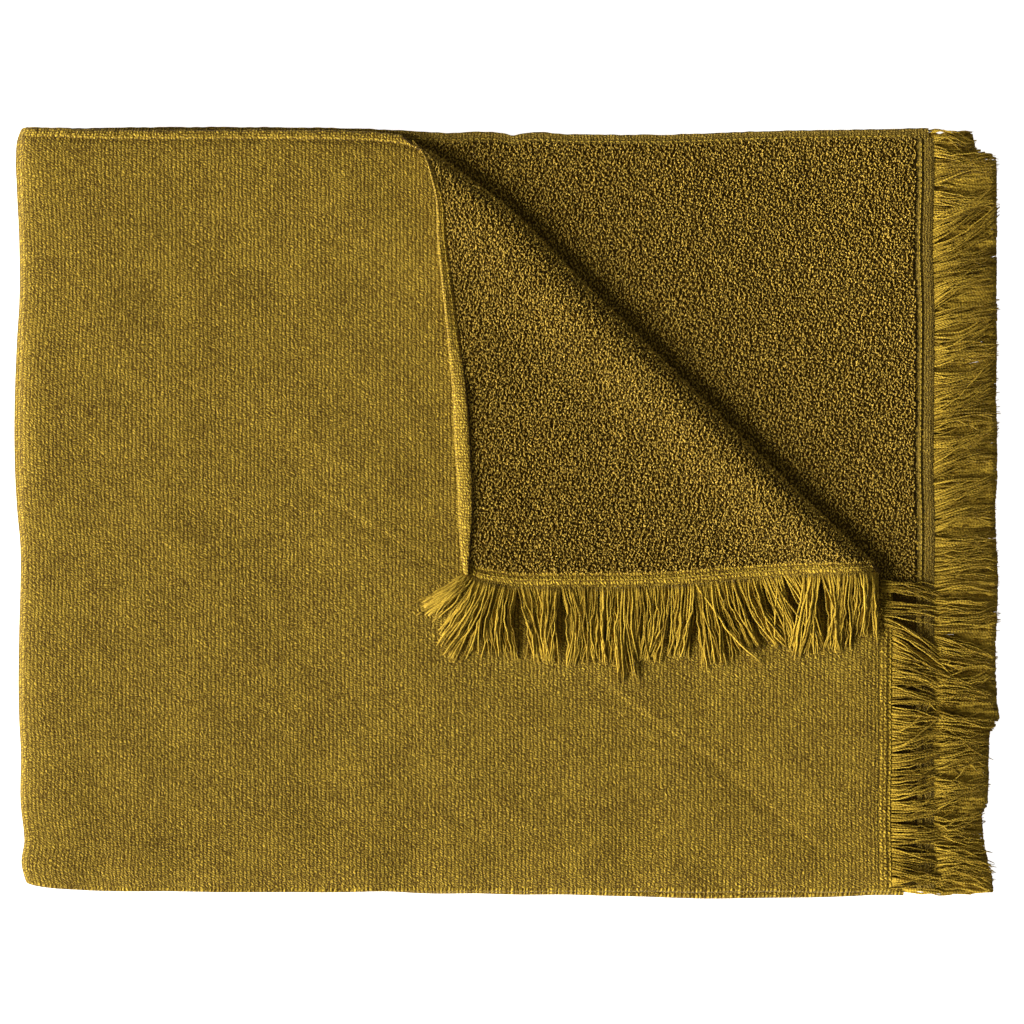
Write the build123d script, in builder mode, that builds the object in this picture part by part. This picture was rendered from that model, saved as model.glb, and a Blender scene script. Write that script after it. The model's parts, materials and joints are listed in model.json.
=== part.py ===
from build123d import *
from math import pi
import os

# A fringed two-faced cotton throw, flat woven on one face and looped on the other. It is folded in
# four with its looped face inside, first lengthwise and then crosswise, and one corner of the top
# layer is turned back. Sizes are in millimetres. +Z is up, +X points to the fringed ends and +Y to
# the hemmed sides. The origin is on the resting face, under the middle of the folded throw.

# --- the cloth ---
cloth_width = 1300.0  # from side hem to side hem
woven_length = 1532.0  # from end band to end band, without the fringes
fringe_length = 60.0
cloth_thickness = 3.0  # the ground weave with its loops
hem_width = 8.5
hem_thickness = 3.2  # the turned edge, sewn flat
end_band_width = 10.0  # woven without loops
end_band_thickness = 2.4

# --- fringe and sewing thread ---
tuft_width, tuft_pitch, tuft_thickness = 7.0, 10.0, 2.0
fringe_root = 4.0  # how far the tufts of a fringe are still one strip
stitch_length, stitch_pitch = 3.4, 5.0
thread_width, thread_height = 0.8, 0.2

# --- the folded stack ---
layer_pitch = 4.0  # from one layer to the next, air included
long_run = 773.0  # from the crosswise fold to the ends of the bottom and upper middle layers
clearance = 0.4  # between pieces of cloth that move apart

# --- the turned corner ---
crease_start_x = -80.0  # on the hemmed side
crease_end_y = -55.0  # on the top layer's end
turned_tip = (-33.0, -49.0)  # where the turned side hem meets the turned end

# --- worked out from these ---
stack_height = 3 * layer_pitch + cloth_thickness
fold_axis_z = stack_height / 2
outer_fold_radius = stack_height / 2
inner_fold_radius = (layer_pitch + cloth_thickness) / 2
inside_fold_radius = (layer_pitch - cloth_thickness) / 2
outer_fold_path = pi * (outer_fold_radius - cloth_thickness / 2)
inner_fold_path = pi * layer_pitch / 2

flat_depth = (cloth_width - inner_fold_path) / 2
folded_depth = flat_depth + inner_fold_radius
hem_y = folded_depth / 2
side_y = hem_y - flat_depth  # where the lengthwise folds begin

folded_length = outer_fold_radius + long_run + fringe_length
fold_x = outer_fold_radius - folded_length / 2  # where the crosswise folds begin
top_run = woven_length - outer_fold_path - long_run
lower_middle_run = woven_length - inner_fold_path - long_run

bottom_z, lower_middle_z, upper_middle_z, top_z, turned_z = (n * layer_pitch for n in range(5))
crease_axis_z = turned_z - inside_fold_radius
top_end_x = fold_x + top_run
crease_start = (crease_start_x, hem_y)
crease_end = (top_end_x, crease_end_y)

os.makedirs("parts", exist_ok=True)


def keep(piece, name):
    """Labels a finished piece and writes it under its own name."""
    piece.label = name
    export_step(piece, f"parts/{name}.step")


def strip_along(start, end, reach):
    """The plan within reach of a straight line, on both sides of it."""
    with BuildSketch() as strip:
        with BuildLine():
            Line(start, end)
        trace(line_width=2 * reach)
    return strip.sketch


def shared(outline, zone):
    """The part of an outline in plan that lies in a zone."""
    with BuildSketch() as inside:
        add(outline)
        add(zone, mode=Mode.INTERSECT)
    return inside.sketch


def without(outline, *zones):
    """An outline in plan with zones cut away."""
    with BuildSketch() as rest:
        add(outline)
        for zone in zones:
            add(zone, mode=Mode.SUBTRACT)
    return rest.sketch


def flat_cloth(outline, low, thickness):
    """Cloth lying flat, from an outline in plan."""
    with BuildPart() as cloth:
        with BuildSketch(Plane.XY.offset(low)):
            add(outline)
        extrude(amount=thickness)
    return cloth.part


def seam_plane(start, end, low):
    """The plane that lies at a height, with its x direction from start to end."""
    run = Vector(*end) - Vector(*start)
    return Plane(origin=(*start, low), x_dir=run, z_dir=(0, 0, 1)), run.length


def stitches(start, end, low):
    """A straight seam's thread where it shows: a row of equal stitches lying on the cloth."""
    plane, length = seam_plane(start, end, low)
    with BuildPart() as thread:
        with BuildSketch(plane):
            with Locations((length / 2, 0)):
                with GridLocations(stitch_pitch, 1, int(length / stitch_pitch), 1):
                    Rectangle(stitch_length, thread_width)
        extrude(amount=thread_height)
    return thread.part


def fringe(start, end, low):
    """A fringe to the right of the line from start to end: tufts that leave one narrow strip."""
    plane, length = seam_plane(start, end, low)
    with BuildPart() as tufts:
        with BuildSketch(plane):
            with Locations((length / 2, -fringe_root / 2)):
                Rectangle(length, fringe_root)
            with Locations((length / 2, -fringe_length / 2)):
                with GridLocations(tuft_pitch, 1, int(length / tuft_pitch), 1):
                    Rectangle(tuft_width, fringe_length)
        extrude(amount=tuft_thickness)
    return tufts.part


def build_cloth(name, low, outline, hem_line, end_line, hem_seam, end_seam, fringe_line):
    """Builds the pieces of one layer: its panel, side hem, end band, both threads and its fringe."""
    hem_zone = strip_along(*hem_line, hem_width)
    band_zone = strip_along(*end_line, end_band_width)
    hem = shared(outline, hem_zone)
    band = without(shared(outline, band_zone), hem_zone)
    panel = without(outline, hem_zone, band_zone)
    keep(flat_cloth(panel, low, cloth_thickness), f"{name}_panel")
    keep(flat_cloth(hem, low, hem_thickness), f"{name}_side_hem")
    keep(flat_cloth(band, low, end_band_thickness), f"{name}_end_band")
    keep(stitches(*hem_seam, low + hem_thickness), f"{name}_hem_thread")
    keep(stitches(*end_seam, low + end_band_thickness), f"{name}_end_thread")
    keep(fringe(*fringe_line, low), f"{name}_fringe")


# --- the four layers of the stack ---

with BuildSketch() as corner_turned_away:
    with BuildLine():
        beyond = (top_end_x + hem_width, hem_y + hem_width)
        Polyline(crease_start, crease_end, (beyond[0], crease_end_y), beyond,
                 (crease_start_x, beyond[1]), close=True)
    make_face()


def build_layer(name, low, start_x, run, corner_is_turned=False):
    """Builds one layer between the crosswise fold and its own fringed end."""
    end_x = fold_x + run
    with BuildSketch() as whole:
        with Locations(((start_x + end_x) / 2, (side_y + hem_y) / 2)):
            Rectangle(end_x - start_x, hem_y - side_y)
        if corner_is_turned:
            add(corner_turned_away.sketch, mode=Mode.SUBTRACT)
    hem_end_x = crease_start_x if corner_is_turned else end_x
    end_top_y = crease_end_y if corner_is_turned else hem_y
    seam_y = hem_y - 0.75 * hem_width
    band_x = end_x - end_band_width / 2
    build_cloth(
        name,
        low,
        whole.sketch,
        hem_line=((start_x - 1, hem_y), (end_x + 1, hem_y)),
        end_line=((end_x, side_y - 1), (end_x, hem_y + 1)),
        hem_seam=((start_x + stitch_pitch, seam_y), (hem_end_x - stitch_pitch, seam_y)),
        end_seam=((band_x, side_y + stitch_pitch), (band_x, end_top_y - 2 * hem_width)),
        fringe_line=((end_x, side_y), (end_x, end_top_y - clearance)),
    )


build_layer("bottom", bottom_z, fold_x, long_run)
build_layer("lower_middle", lower_middle_z, fold_x, lower_middle_run)
build_layer("upper_middle", upper_middle_z, fold_x + clearance, long_run)
build_layer("top", top_z, fold_x + clearance, top_run, corner_is_turned=True)

# --- the turned corner, lying on the top layer with its looped face up ---

with BuildSketch() as turned_outline:
    with BuildLine():
        Polyline(crease_start, turned_tip, crease_end, close=True)
    make_face()
    add(strip_along(crease_start, crease_end, clearance), mode=Mode.SUBTRACT)

tip = Vector(*turned_tip)
along_hem = (Vector(*crease_start) - tip).normalized()
along_end = (Vector(*crease_end) - tip).normalized()
hem_seam_start = tip + along_hem * hem_width + along_end * (0.75 * hem_width)
end_seam_start = tip + along_end * (2 * hem_width) + along_hem * (end_band_width / 2)
hem_seam_length = (Vector(*crease_start) - tip).length - 5 * hem_width
end_seam_length = (Vector(*crease_end) - tip).length - 5 * hem_width
hem_seam_end = hem_seam_start + along_hem * hem_seam_length
end_seam_end = end_seam_start + along_end * end_seam_length

build_cloth(
    "turned_corner",
    turned_z,
    turned_outline.sketch,
    hem_line=(crease_start, turned_tip),
    end_line=(turned_tip, crease_end),
    hem_seam=((hem_seam_start.X, hem_seam_start.Y), (hem_seam_end.X, hem_seam_end.Y)),
    end_seam=((end_seam_start.X, end_seam_start.Y), (end_seam_end.X, end_seam_end.Y)),
    fringe_line=(turned_tip, (crease_end[0] - clearance, crease_end[1])),
)

# --- the folds that join the layers ---


def draw_fold_section(inner, outer):
    """Draws, in the open sketch, half a ring of cloth seen end on that bulges along its x."""
    Circle(outer)
    Circle(inner, mode=Mode.SUBTRACT)
    with Locations((-outer, 0)):
        Rectangle(2 * outer, 3 * outer, mode=Mode.SUBTRACT)


def build_side_fold(name, axis_z, start_x, end_x):
    """Builds the lengthwise fold that joins two layers along the side away from their hems."""
    with BuildPart() as fold:
        with BuildSketch(Plane(origin=(start_x, side_y, axis_z), x_dir=(0, -1, 0), z_dir=(1, 0, 0))):
            draw_fold_section(inside_fold_radius, inner_fold_radius)
        extrude(amount=end_x - start_x)
    keep(fold.part, name)


def build_cross_fold(name, inner, outer):
    """Builds one of the two crosswise folds, one round the other, that join the two halves."""
    with BuildPart() as fold:
        with BuildSketch(Plane(origin=(fold_x, side_y, fold_axis_z), x_dir=(-1, 0, 0), z_dir=(0, 1, 0))):
            draw_fold_section(inner, outer)
        extrude(amount=hem_y - side_y)
    keep(fold.part, name)


lower_side_axis_z = lower_middle_z - inside_fold_radius
upper_side_axis_z = top_z - inside_fold_radius
build_side_fold("lower_side_fold", lower_side_axis_z, fold_x, fold_x + lower_middle_run)
build_side_fold("upper_side_fold", upper_side_axis_z, fold_x + clearance, top_end_x)
build_cross_fold("outer_cross_fold", outer_fold_radius - cloth_thickness, outer_fold_radius)
build_cross_fold("inner_cross_fold", inside_fold_radius, inner_fold_radius)

# The lengthwise fold carries on round the crosswise one.
with BuildPart() as double_fold_corner:
    with BuildSketch(Plane(origin=(fold_x, side_y, upper_side_axis_z), x_dir=(0, -1, 0), z_dir=(1, 0, 0))):
        draw_fold_section(inside_fold_radius, inner_fold_radius)
    revolve(axis=Axis((fold_x, side_y, fold_axis_z), (0, -1, 0)), revolution_arc=180)
keep(double_fold_corner.part, "double_fold_corner")

# The crease on which the corner is turned back, cut off square at the throw's side and end.
along_crease = (Vector(*crease_end) - Vector(*crease_start)).normalized()
across_crease = Vector(-along_crease.Y, along_crease.X)
crease_length = (Vector(*crease_end) - Vector(*crease_start)).length
with BuildPart() as corner_crease:
    with BuildSketch(Plane(origin=(*crease_start, crease_axis_z), x_dir=across_crease, z_dir=along_crease)):
        draw_fold_section(inside_fold_radius, inner_fold_radius)
    extrude(amount=crease_length)
    split(bisect_by=Plane(origin=(0, hem_y, 0), z_dir=(0, 1, 0)), keep=Keep.BOTTOM)
    split(bisect_by=Plane(origin=(top_end_x, 0, 0), z_dir=(1, 0, 0)), keep=Keep.BOTTOM)
keep(corner_crease.part, "corner_crease")

print(f"folded throw {folded_length:.1f} x {folded_depth:.1f} mm")
print(f"crosswise fold axis x {fold_x:.2f}, z {fold_axis_z:.2f}")
print(f"corner crease from ({crease_start[0]:.2f}, {crease_start[1]:.2f})")
print(f"to ({crease_end[0]:.2f}, {crease_end[1]:.2f}), axis z {crease_axis_z:.2f}")
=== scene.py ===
import json
import math

import bmesh
import bpy
import numpy as np
from bpy.props import FloatProperty, FloatVectorProperty, IntProperty, PointerProperty
from bpy.types import Operator, Panel, PropertyGroup
from mathutils import Vector
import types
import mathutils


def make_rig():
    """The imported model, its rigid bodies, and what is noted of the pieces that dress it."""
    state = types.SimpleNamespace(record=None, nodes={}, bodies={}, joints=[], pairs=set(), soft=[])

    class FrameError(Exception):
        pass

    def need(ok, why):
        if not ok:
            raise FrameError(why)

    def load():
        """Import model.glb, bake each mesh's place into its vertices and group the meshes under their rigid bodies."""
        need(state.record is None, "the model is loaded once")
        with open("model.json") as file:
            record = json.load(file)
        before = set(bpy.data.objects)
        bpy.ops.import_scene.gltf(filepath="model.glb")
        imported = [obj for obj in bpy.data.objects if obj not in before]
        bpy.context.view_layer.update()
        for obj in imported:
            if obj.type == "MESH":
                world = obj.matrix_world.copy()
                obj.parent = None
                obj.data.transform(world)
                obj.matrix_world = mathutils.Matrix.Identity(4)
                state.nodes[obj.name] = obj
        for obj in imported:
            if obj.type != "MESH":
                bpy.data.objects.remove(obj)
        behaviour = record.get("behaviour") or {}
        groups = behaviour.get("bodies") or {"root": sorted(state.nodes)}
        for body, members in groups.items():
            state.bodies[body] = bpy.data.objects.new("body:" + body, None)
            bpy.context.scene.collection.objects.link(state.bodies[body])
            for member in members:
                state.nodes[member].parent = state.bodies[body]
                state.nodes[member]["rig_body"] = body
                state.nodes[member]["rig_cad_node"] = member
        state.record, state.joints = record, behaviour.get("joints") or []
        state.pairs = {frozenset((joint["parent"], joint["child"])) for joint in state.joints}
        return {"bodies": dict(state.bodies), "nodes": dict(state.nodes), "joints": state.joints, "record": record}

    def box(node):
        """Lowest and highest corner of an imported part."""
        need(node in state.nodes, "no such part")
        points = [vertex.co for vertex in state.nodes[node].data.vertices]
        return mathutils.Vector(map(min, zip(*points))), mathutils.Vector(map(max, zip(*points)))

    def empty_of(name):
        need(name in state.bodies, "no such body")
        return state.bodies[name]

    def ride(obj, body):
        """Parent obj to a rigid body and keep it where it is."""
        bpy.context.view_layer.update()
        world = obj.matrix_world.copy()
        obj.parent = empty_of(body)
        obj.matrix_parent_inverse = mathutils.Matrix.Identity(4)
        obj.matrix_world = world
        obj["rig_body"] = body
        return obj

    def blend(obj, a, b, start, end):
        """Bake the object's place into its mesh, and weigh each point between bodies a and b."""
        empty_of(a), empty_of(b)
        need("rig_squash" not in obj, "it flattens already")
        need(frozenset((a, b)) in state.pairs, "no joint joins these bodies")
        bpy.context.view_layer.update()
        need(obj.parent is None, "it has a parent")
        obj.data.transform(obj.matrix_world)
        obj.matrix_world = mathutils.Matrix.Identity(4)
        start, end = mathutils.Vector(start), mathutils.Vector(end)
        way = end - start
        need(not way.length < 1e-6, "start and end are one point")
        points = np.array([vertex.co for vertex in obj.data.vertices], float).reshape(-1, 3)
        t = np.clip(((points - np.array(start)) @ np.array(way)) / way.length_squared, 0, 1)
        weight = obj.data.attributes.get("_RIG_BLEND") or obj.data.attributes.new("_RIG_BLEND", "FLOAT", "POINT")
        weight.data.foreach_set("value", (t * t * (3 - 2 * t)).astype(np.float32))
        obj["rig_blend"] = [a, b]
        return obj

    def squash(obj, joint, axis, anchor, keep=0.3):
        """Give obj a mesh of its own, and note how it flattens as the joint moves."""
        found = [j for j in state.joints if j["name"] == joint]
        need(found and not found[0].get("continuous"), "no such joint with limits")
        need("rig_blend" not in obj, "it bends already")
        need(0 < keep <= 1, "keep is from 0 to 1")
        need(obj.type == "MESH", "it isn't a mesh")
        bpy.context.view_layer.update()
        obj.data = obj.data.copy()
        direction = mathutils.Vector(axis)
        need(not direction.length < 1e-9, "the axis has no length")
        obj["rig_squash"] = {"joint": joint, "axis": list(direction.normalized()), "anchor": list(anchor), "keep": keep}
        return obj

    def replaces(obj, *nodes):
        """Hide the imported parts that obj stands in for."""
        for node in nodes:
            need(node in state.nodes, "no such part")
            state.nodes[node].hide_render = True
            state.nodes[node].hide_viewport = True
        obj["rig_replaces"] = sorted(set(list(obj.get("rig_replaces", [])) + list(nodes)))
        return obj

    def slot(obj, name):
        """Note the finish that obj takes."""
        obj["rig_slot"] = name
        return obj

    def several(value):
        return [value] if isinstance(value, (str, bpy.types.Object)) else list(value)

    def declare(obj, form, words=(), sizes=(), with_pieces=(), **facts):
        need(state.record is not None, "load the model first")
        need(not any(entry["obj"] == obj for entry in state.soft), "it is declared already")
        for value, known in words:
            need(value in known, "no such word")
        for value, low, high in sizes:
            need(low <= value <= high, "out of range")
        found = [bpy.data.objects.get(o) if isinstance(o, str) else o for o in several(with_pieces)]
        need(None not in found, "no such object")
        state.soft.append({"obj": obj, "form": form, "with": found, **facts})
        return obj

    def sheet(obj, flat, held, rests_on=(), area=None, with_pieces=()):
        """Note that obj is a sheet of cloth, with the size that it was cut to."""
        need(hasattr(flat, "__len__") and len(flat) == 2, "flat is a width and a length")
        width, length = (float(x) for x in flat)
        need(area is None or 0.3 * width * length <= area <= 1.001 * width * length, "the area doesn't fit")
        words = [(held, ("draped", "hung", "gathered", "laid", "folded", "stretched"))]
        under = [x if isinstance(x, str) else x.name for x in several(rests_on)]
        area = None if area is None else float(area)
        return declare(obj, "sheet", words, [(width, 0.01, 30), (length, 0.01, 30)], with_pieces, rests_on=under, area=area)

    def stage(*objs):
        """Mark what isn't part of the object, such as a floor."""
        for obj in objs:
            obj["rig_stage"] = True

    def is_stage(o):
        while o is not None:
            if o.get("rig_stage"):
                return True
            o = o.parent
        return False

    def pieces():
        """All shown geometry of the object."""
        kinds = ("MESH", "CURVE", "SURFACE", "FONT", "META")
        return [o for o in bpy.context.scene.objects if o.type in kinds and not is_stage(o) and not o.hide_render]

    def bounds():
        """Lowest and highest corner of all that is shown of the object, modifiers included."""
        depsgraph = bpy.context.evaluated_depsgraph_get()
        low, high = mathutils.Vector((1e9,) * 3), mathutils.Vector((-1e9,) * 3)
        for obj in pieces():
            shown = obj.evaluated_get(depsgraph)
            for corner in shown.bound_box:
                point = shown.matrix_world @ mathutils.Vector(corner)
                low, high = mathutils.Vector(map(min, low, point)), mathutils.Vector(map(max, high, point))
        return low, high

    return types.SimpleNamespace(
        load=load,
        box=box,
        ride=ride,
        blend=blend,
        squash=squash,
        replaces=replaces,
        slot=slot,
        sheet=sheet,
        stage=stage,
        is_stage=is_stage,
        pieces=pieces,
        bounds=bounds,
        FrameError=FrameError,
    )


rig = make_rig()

bl_info = {
    "name": "Folded throw blanket",
    "version": (1, 0, 0),
    "blender": (4, 5, 0),
    "location": "View3D > Sidebar > Throw",
    "description": "Builds a fringed, two-faced cotton throw folded in four with one corner turned back",
    "category": "Object",
}

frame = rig.load()
cad_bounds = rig.bounds()

# Shapes are worked out in millimetres of the row frame and become metres in mesh_piece.
MM = 0.001


# --- what the frame says ---


def cad_box(*nodes):
    """The lowest and highest corner of some CAD nodes together, in millimetres."""
    corners = np.array([[list(c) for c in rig.box(n)] for n in nodes]) / MM
    return corners[:, 0].min(0), corners[:, 1].max(0)


def joint_line(name):
    """A point on a joint's axis, in millimetres, and the axis's direction."""
    found = next(j for j in frame["joints"] if j["name"] == name)
    return np.array(found["pos_m"]) / MM, np.array(found["axis"])


FOLD_X, SIDE_Y = cad_box("bottom_panel")[0][:2]
HEM_Y = cad_box("bottom_side_hem")[1][1]
HEM_WIDTH = HEM_Y - cad_box("bottom_panel")[1][1]
BAND_WIDTH = cad_box("bottom_end_band")[1][0] - cad_box("bottom_panel")[1][0]
CLOTH = cad_box("bottom_panel")[1][2]
FOLD_Z = joint_line("crosswise_fold")[0][2]
FRINGE = cad_box("bottom_fringe")[1][0] - cad_box("bottom_end_band")[1][0]
TURNED_Z = cad_box("turned_corner_panel")[0][2]
TOP_END = cad_box("top_end_band")[1][0]
FULL_HEIGHT = cad_box("top_panel")[1][2]

crease_point, crease_axis = joint_line("corner_fold")
crease_slope = crease_axis[1] / crease_axis[0]
CREASE_START = np.array([crease_point[0] + (HEM_Y - crease_point[1]) / crease_slope, HEM_Y])
CREASE_END = np.array([TOP_END, crease_point[1] + (TOP_END - crease_point[0]) * crease_slope])
TURNED_TIP = np.array([cad_box("turned_corner_fringe")[0][0] + 1, cad_box("turned_corner_side_hem")[0][1]])


# --- smooth lines ---


def evenly(line, count):
    """A line's points again, count of them and evenly spaced."""
    run = np.concatenate([[0], np.cumsum(np.linalg.norm(np.diff(line, axis=0), axis=1))])
    at = np.linspace(0, run[-1], count)
    return np.stack([np.interp(at, run, line[:, k]) for k in range(line.shape[1])], 1)


def profile(xs, ys):
    """A smooth function of one number through a few values, level beyond the first and last."""
    xs, ys = np.asarray(xs, float), np.asarray(ys, float)
    slopes = np.gradient(ys, xs)

    def at(x):
        x = np.clip(x, xs[0], xs[-1])
        k = np.clip(np.searchsorted(xs, x, "right") - 1, 0, len(xs) - 2)
        h = xs[k + 1] - xs[k]
        t = (x - xs[k]) / h
        return (
            (2 * t**3 - 3 * t**2 + 1) * ys[k]
            + (t**3 - 2 * t**2 + t) * h * slopes[k]
            + (3 * t**2 - 2 * t**3) * ys[k + 1]
            + (t**3 - t**2) * h * slopes[k + 1]
        )

    return at


def curve_through(points, count):
    """A smooth line through a few points, as evenly spaced points."""
    points = np.asarray(points, float)
    run = np.concatenate([[0], np.cumsum(np.linalg.norm(np.diff(points, axis=0), axis=1))])
    at = np.linspace(0, run[-1], 20 * len(points))
    dense = np.stack([profile(run, points[:, k])(at) for k in range(points.shape[1])], 1)
    return evenly(dense, count)


def smooth(x):
    """0 below 0, 1 above 1 and smooth between."""
    x = np.clip(x, 0, 1)
    return x * x * (3 - 2 * x)


def ripple(x, y, wavelength, seed):
    """Gentle unevenness over the plan, about -1 to 1."""
    chance = np.random.default_rng(seed)
    total = 0
    for _ in range(6):
        heading = chance.uniform(0, math.tau)
        pitch = math.tau / (wavelength * chance.uniform(0.65, 1.5))
        run = (x * math.cos(heading) + y * math.sin(heading)) * pitch
        total = total + np.sin(run + chance.uniform(0, math.tau))
    return total / 3.5


# --- how the layers lie ---

# The left side wanders along the crosswise fold, and drops in at the notch of the double fold.
left_shift = profile(
    [-322, -316, -306, -298, -290, -282, -260, -209, -184, -107,
     -81, -30, -5, 149, 174, 230, 277, 302, 318, 328],
    [8.4, 6.5, 4.9, 6.1, 7.6, 7.2, 4.5, 4.3, 2.9, 2.9,
     3.7, 3.7, 1.2, 1.2, 2.9, 2.9, 0.6, -0.2, 1.5, 5.9],
)
upper_side_shift = profile(
    [-412, -404, -390, -364, -320, 0, 327, 360],
    [6.4, 4.8, 2.6, 0.6, -0.2, -0.6, -1.1, -1.1],
)
lower_side_shift = profile(
    [-412, -404, -390, -364, -236, -133, -60, 0, 70, 122, 170, 240, 290, 330, 378],
    [6.4, 4.6, 2.0, 0.3, -0.3, -1.1, -2.9, -3.7, -4.6, -6.2, -7.1, -7.0, -5.4, -4.6, -5.4],
)


class Layer:
    """One layer of the stack: where it lies, and how far its edges stray from straight lines."""

    def __init__(self, name, body, hem_shift, side_shift, end_wander):
        self.name, self.body = name, body
        self.low = cad_box(f"{name}_panel")[0][2]
        self.end = cad_box(f"{name}_end_band")[1][0]
        self.level = self.low / cad_box("top_panel")[0][2]
        self.hem_shift, self.side_shift, self.end_wander = hem_shift, side_shift, end_wander


layers = {
    layer.name: layer
    for layer in (
        Layer("bottom", "lower_half", profile([-412, 0, 360], [-2.0, -6.2, -3.0]), lower_side_shift, 3),
        Layer("lower_middle", "lower_half", profile([-412, 0, 340], [-1.2, -6.0, -2.2]), lower_side_shift, 4),
        Layer(
            "upper_middle",
            "upper_half",
            profile(
                [-412, -350, -300, -190, -133, -82, -57, -2, 4.7, 11, 60, 150, 190, 240, 300, 345, 378],
                [0.6, 1.8, 2.4, 2.2, 1.4, -0.7, -2.3, -3.1, -4.7,
                 -3.3, -3.8, -3.7, -2.1, -0.6, 0.3, 1.3, 2.0],
            ),
            upper_side_shift,
            5,
        ),
        Layer(
            "top",
            "upper_half",
            profile(
                [-412, -388, -350, -300, -185, -133, -104, -88, -60],
                [2.2, 1.6, -0.1, -0.5, -0.7, -1.4, -2.8, -5.4, -12],
            ),
            upper_side_shift,
            6,
        ),
    )
}

# Faint creases pressed into the top layer: both ends of each, and its depth.
pressed_creases = (
    ((-176, 243), (-88, 217), 0.5),
    ((-364, 188), (-317, 161), 0.5),
    ((-304, 128), (-246, 94), 0.4),
    ((-261, 60), (-206, 29), 0.5),
    ((-366, 36), (-318, 0), 0.5),
    ((-182, 28), (-46, -57), 0.8),
    ((-94, 10), (-46, -12), 0.4),
    ((58, -128), (282, -298), 0.9),
    ((118, -108), (172, -150), 0.5),
    ((-70, -238), (0, -288), 0.4),
)


def crease_line():
    """The line along which the corner is turned back, from the hem to the end."""
    along = CREASE_END - CREASE_START
    across = np.array([-along[1], along[0]]) / np.linalg.norm(along)
    shares = np.array([-0.002, 0.0214, 0.0683, 0.1175, 0.17, 0.35, 0.6, 0.85, 0.985])
    shifts = np.array([-11.2, -10.4, -5.4, -2.1, 1.2, -0.8, -4.0, -7.0, -6.5])
    return curve_through(CREASE_START + shares[:, None] * along + shifts[:, None] * across, 300)


crease = crease_line()


def lift(x, y, level):
    """How far the cloth stands off its flat place, more so the higher it lies in the stack."""
    waves = 0.7 * ripple(x, y, 210, 11) + 0.45 * ripple(x, y, 85, 12)
    ruffle = 0.7 * ripple(x, y * 0.12, 75, 13) * np.exp(-(y - SIDE_Y) / 150)
    run_x, run_y = (CREASE_END - CREASE_START) / np.linalg.norm(CREASE_END - CREASE_START)
    off_crease = np.abs((x - CREASE_START[0]) * run_y - (y - CREASE_START[1]) * run_x)
    return level * (0.9 + waves + ruffle) * smooth(off_crease / 70) * smooth((x - FOLD_X) / 70)


def droop(x, y, z):
    """How far the cloth sinks towards the folds, the topmost most."""
    from_fold, from_side = np.maximum(x - FOLD_X, 0), np.maximum(y - SIDE_Y, 0)
    past_fold = np.maximum(FOLD_X - x, 0)
    high = np.clip(z, 0, None) / FULL_HEIGHT
    sunk = 3.6 * np.exp(-from_fold / 7) + 0.6 * np.exp(-from_fold / 28) + 3.0 * np.exp(-from_side / 11)
    return sunk * high**2.2 + 0.75 * past_fold * high


def pressed(x, y):
    """The height of the pressed creases."""
    total = np.zeros(np.shape(x))
    for (x0, y0), (x1, y1), depth in pressed_creases:
        length = math.hypot(x1 - x0, y1 - y0)
        ux, uy = (x1 - x0) / length, (y1 - y0) / length
        along = (x - x0) * ux + (y - y0) * uy
        across = (y - y0) * ux - (x - x0) * uy + 2.0 * np.sin(along / 31)
        fade = smooth(along / 22) * smooth((length - along) / 22)
        total += depth * fade * (0.5 * np.exp(-(((across - 5) / 4) ** 2)) - np.exp(-((across / 2.4) ** 2)))
    return total


def place(layer, x, y, z):
    """Cloth of a layer at its flat place goes to where it lies."""
    x, y, z = (np.asarray(c, float) for c in (x, y, z))
    inset = left_shift(y) * (1 - smooth((x - FOLD_X) / 150))
    wander = 0.9 * ripple(y, 0 * y, 120, layer.end_wander) * smooth((x - layer.end + 120) / 120)
    x = x + inset + wander
    share = (y - SIDE_Y) / (HEM_Y - SIDE_Y)
    y = y + (1 - share) * layer.side_shift(x) + share * layer.hem_shift(x)
    z = z + lift(x, y, layer.level) - droop(x, y, z)
    if layer.name == "top":
        z = z + pressed(x, y)
    return np.stack(np.broadcast_arrays(x, y, z), -1)


def place_between(lower, upper, share, x, y, z):
    """Cloth that goes from one layer to another."""
    share = np.asarray(share)[..., None]
    return (1 - share) * place(lower, x, y, z) + share * place(upper, x, y, z)


def crease_at_flat(y):
    """Where the crease crosses the top layer's flat rows."""
    top = layers["top"]
    side, hem = top.side_shift(crease[:, 0]), top.hem_shift(crease[:, 0])
    share = (crease[:, 1] - SIDE_Y - side) / (HEM_Y - SIDE_Y + hem - side)
    flat = SIDE_Y + share * (HEM_Y - SIDE_Y)
    order = np.argsort(flat)
    return np.interp(y, flat[order], crease[order, 0])


# --- meshes ---


def mesh_piece(name, points, quads, flat, skins, under=None, sharp=True):
    """A mesh object from points and four-sided faces. flat is each point's place on the flat cloth."""
    mesh = bpy.data.meshes.new(name)
    mesh.vertices.add(len(points))
    mesh.vertices.foreach_set("co", (points * MM).astype(np.float32).ravel())
    mesh.loops.add(quads.size)
    mesh.loops.foreach_set("vertex_index", quads.astype(np.int32).ravel())
    mesh.polygons.add(len(quads))
    mesh.polygons.foreach_set("loop_start", np.arange(0, quads.size, 4, dtype=np.int32))
    mesh.polygons.foreach_set("use_smooth", np.ones(len(quads), bool))
    for skin in skins:
        mesh.materials.append(cloth_material(skin))
    if under is not None:
        mesh.polygons.foreach_set("material_index", under.astype(np.int32))
    layer = mesh.uv_layers.new(name="flat_cloth")
    layer.data.foreach_set("uv", (flat[quads.ravel()] * MM).astype(np.float32).ravel())
    mesh.update(calc_edges=True)
    if sharp:
        mesh.set_sharp_from_angle(angle=math.radians(52))
    piece = bpy.data.objects.new(name, mesh)
    bpy.context.scene.collection.objects.link(piece)
    return piece


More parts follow.
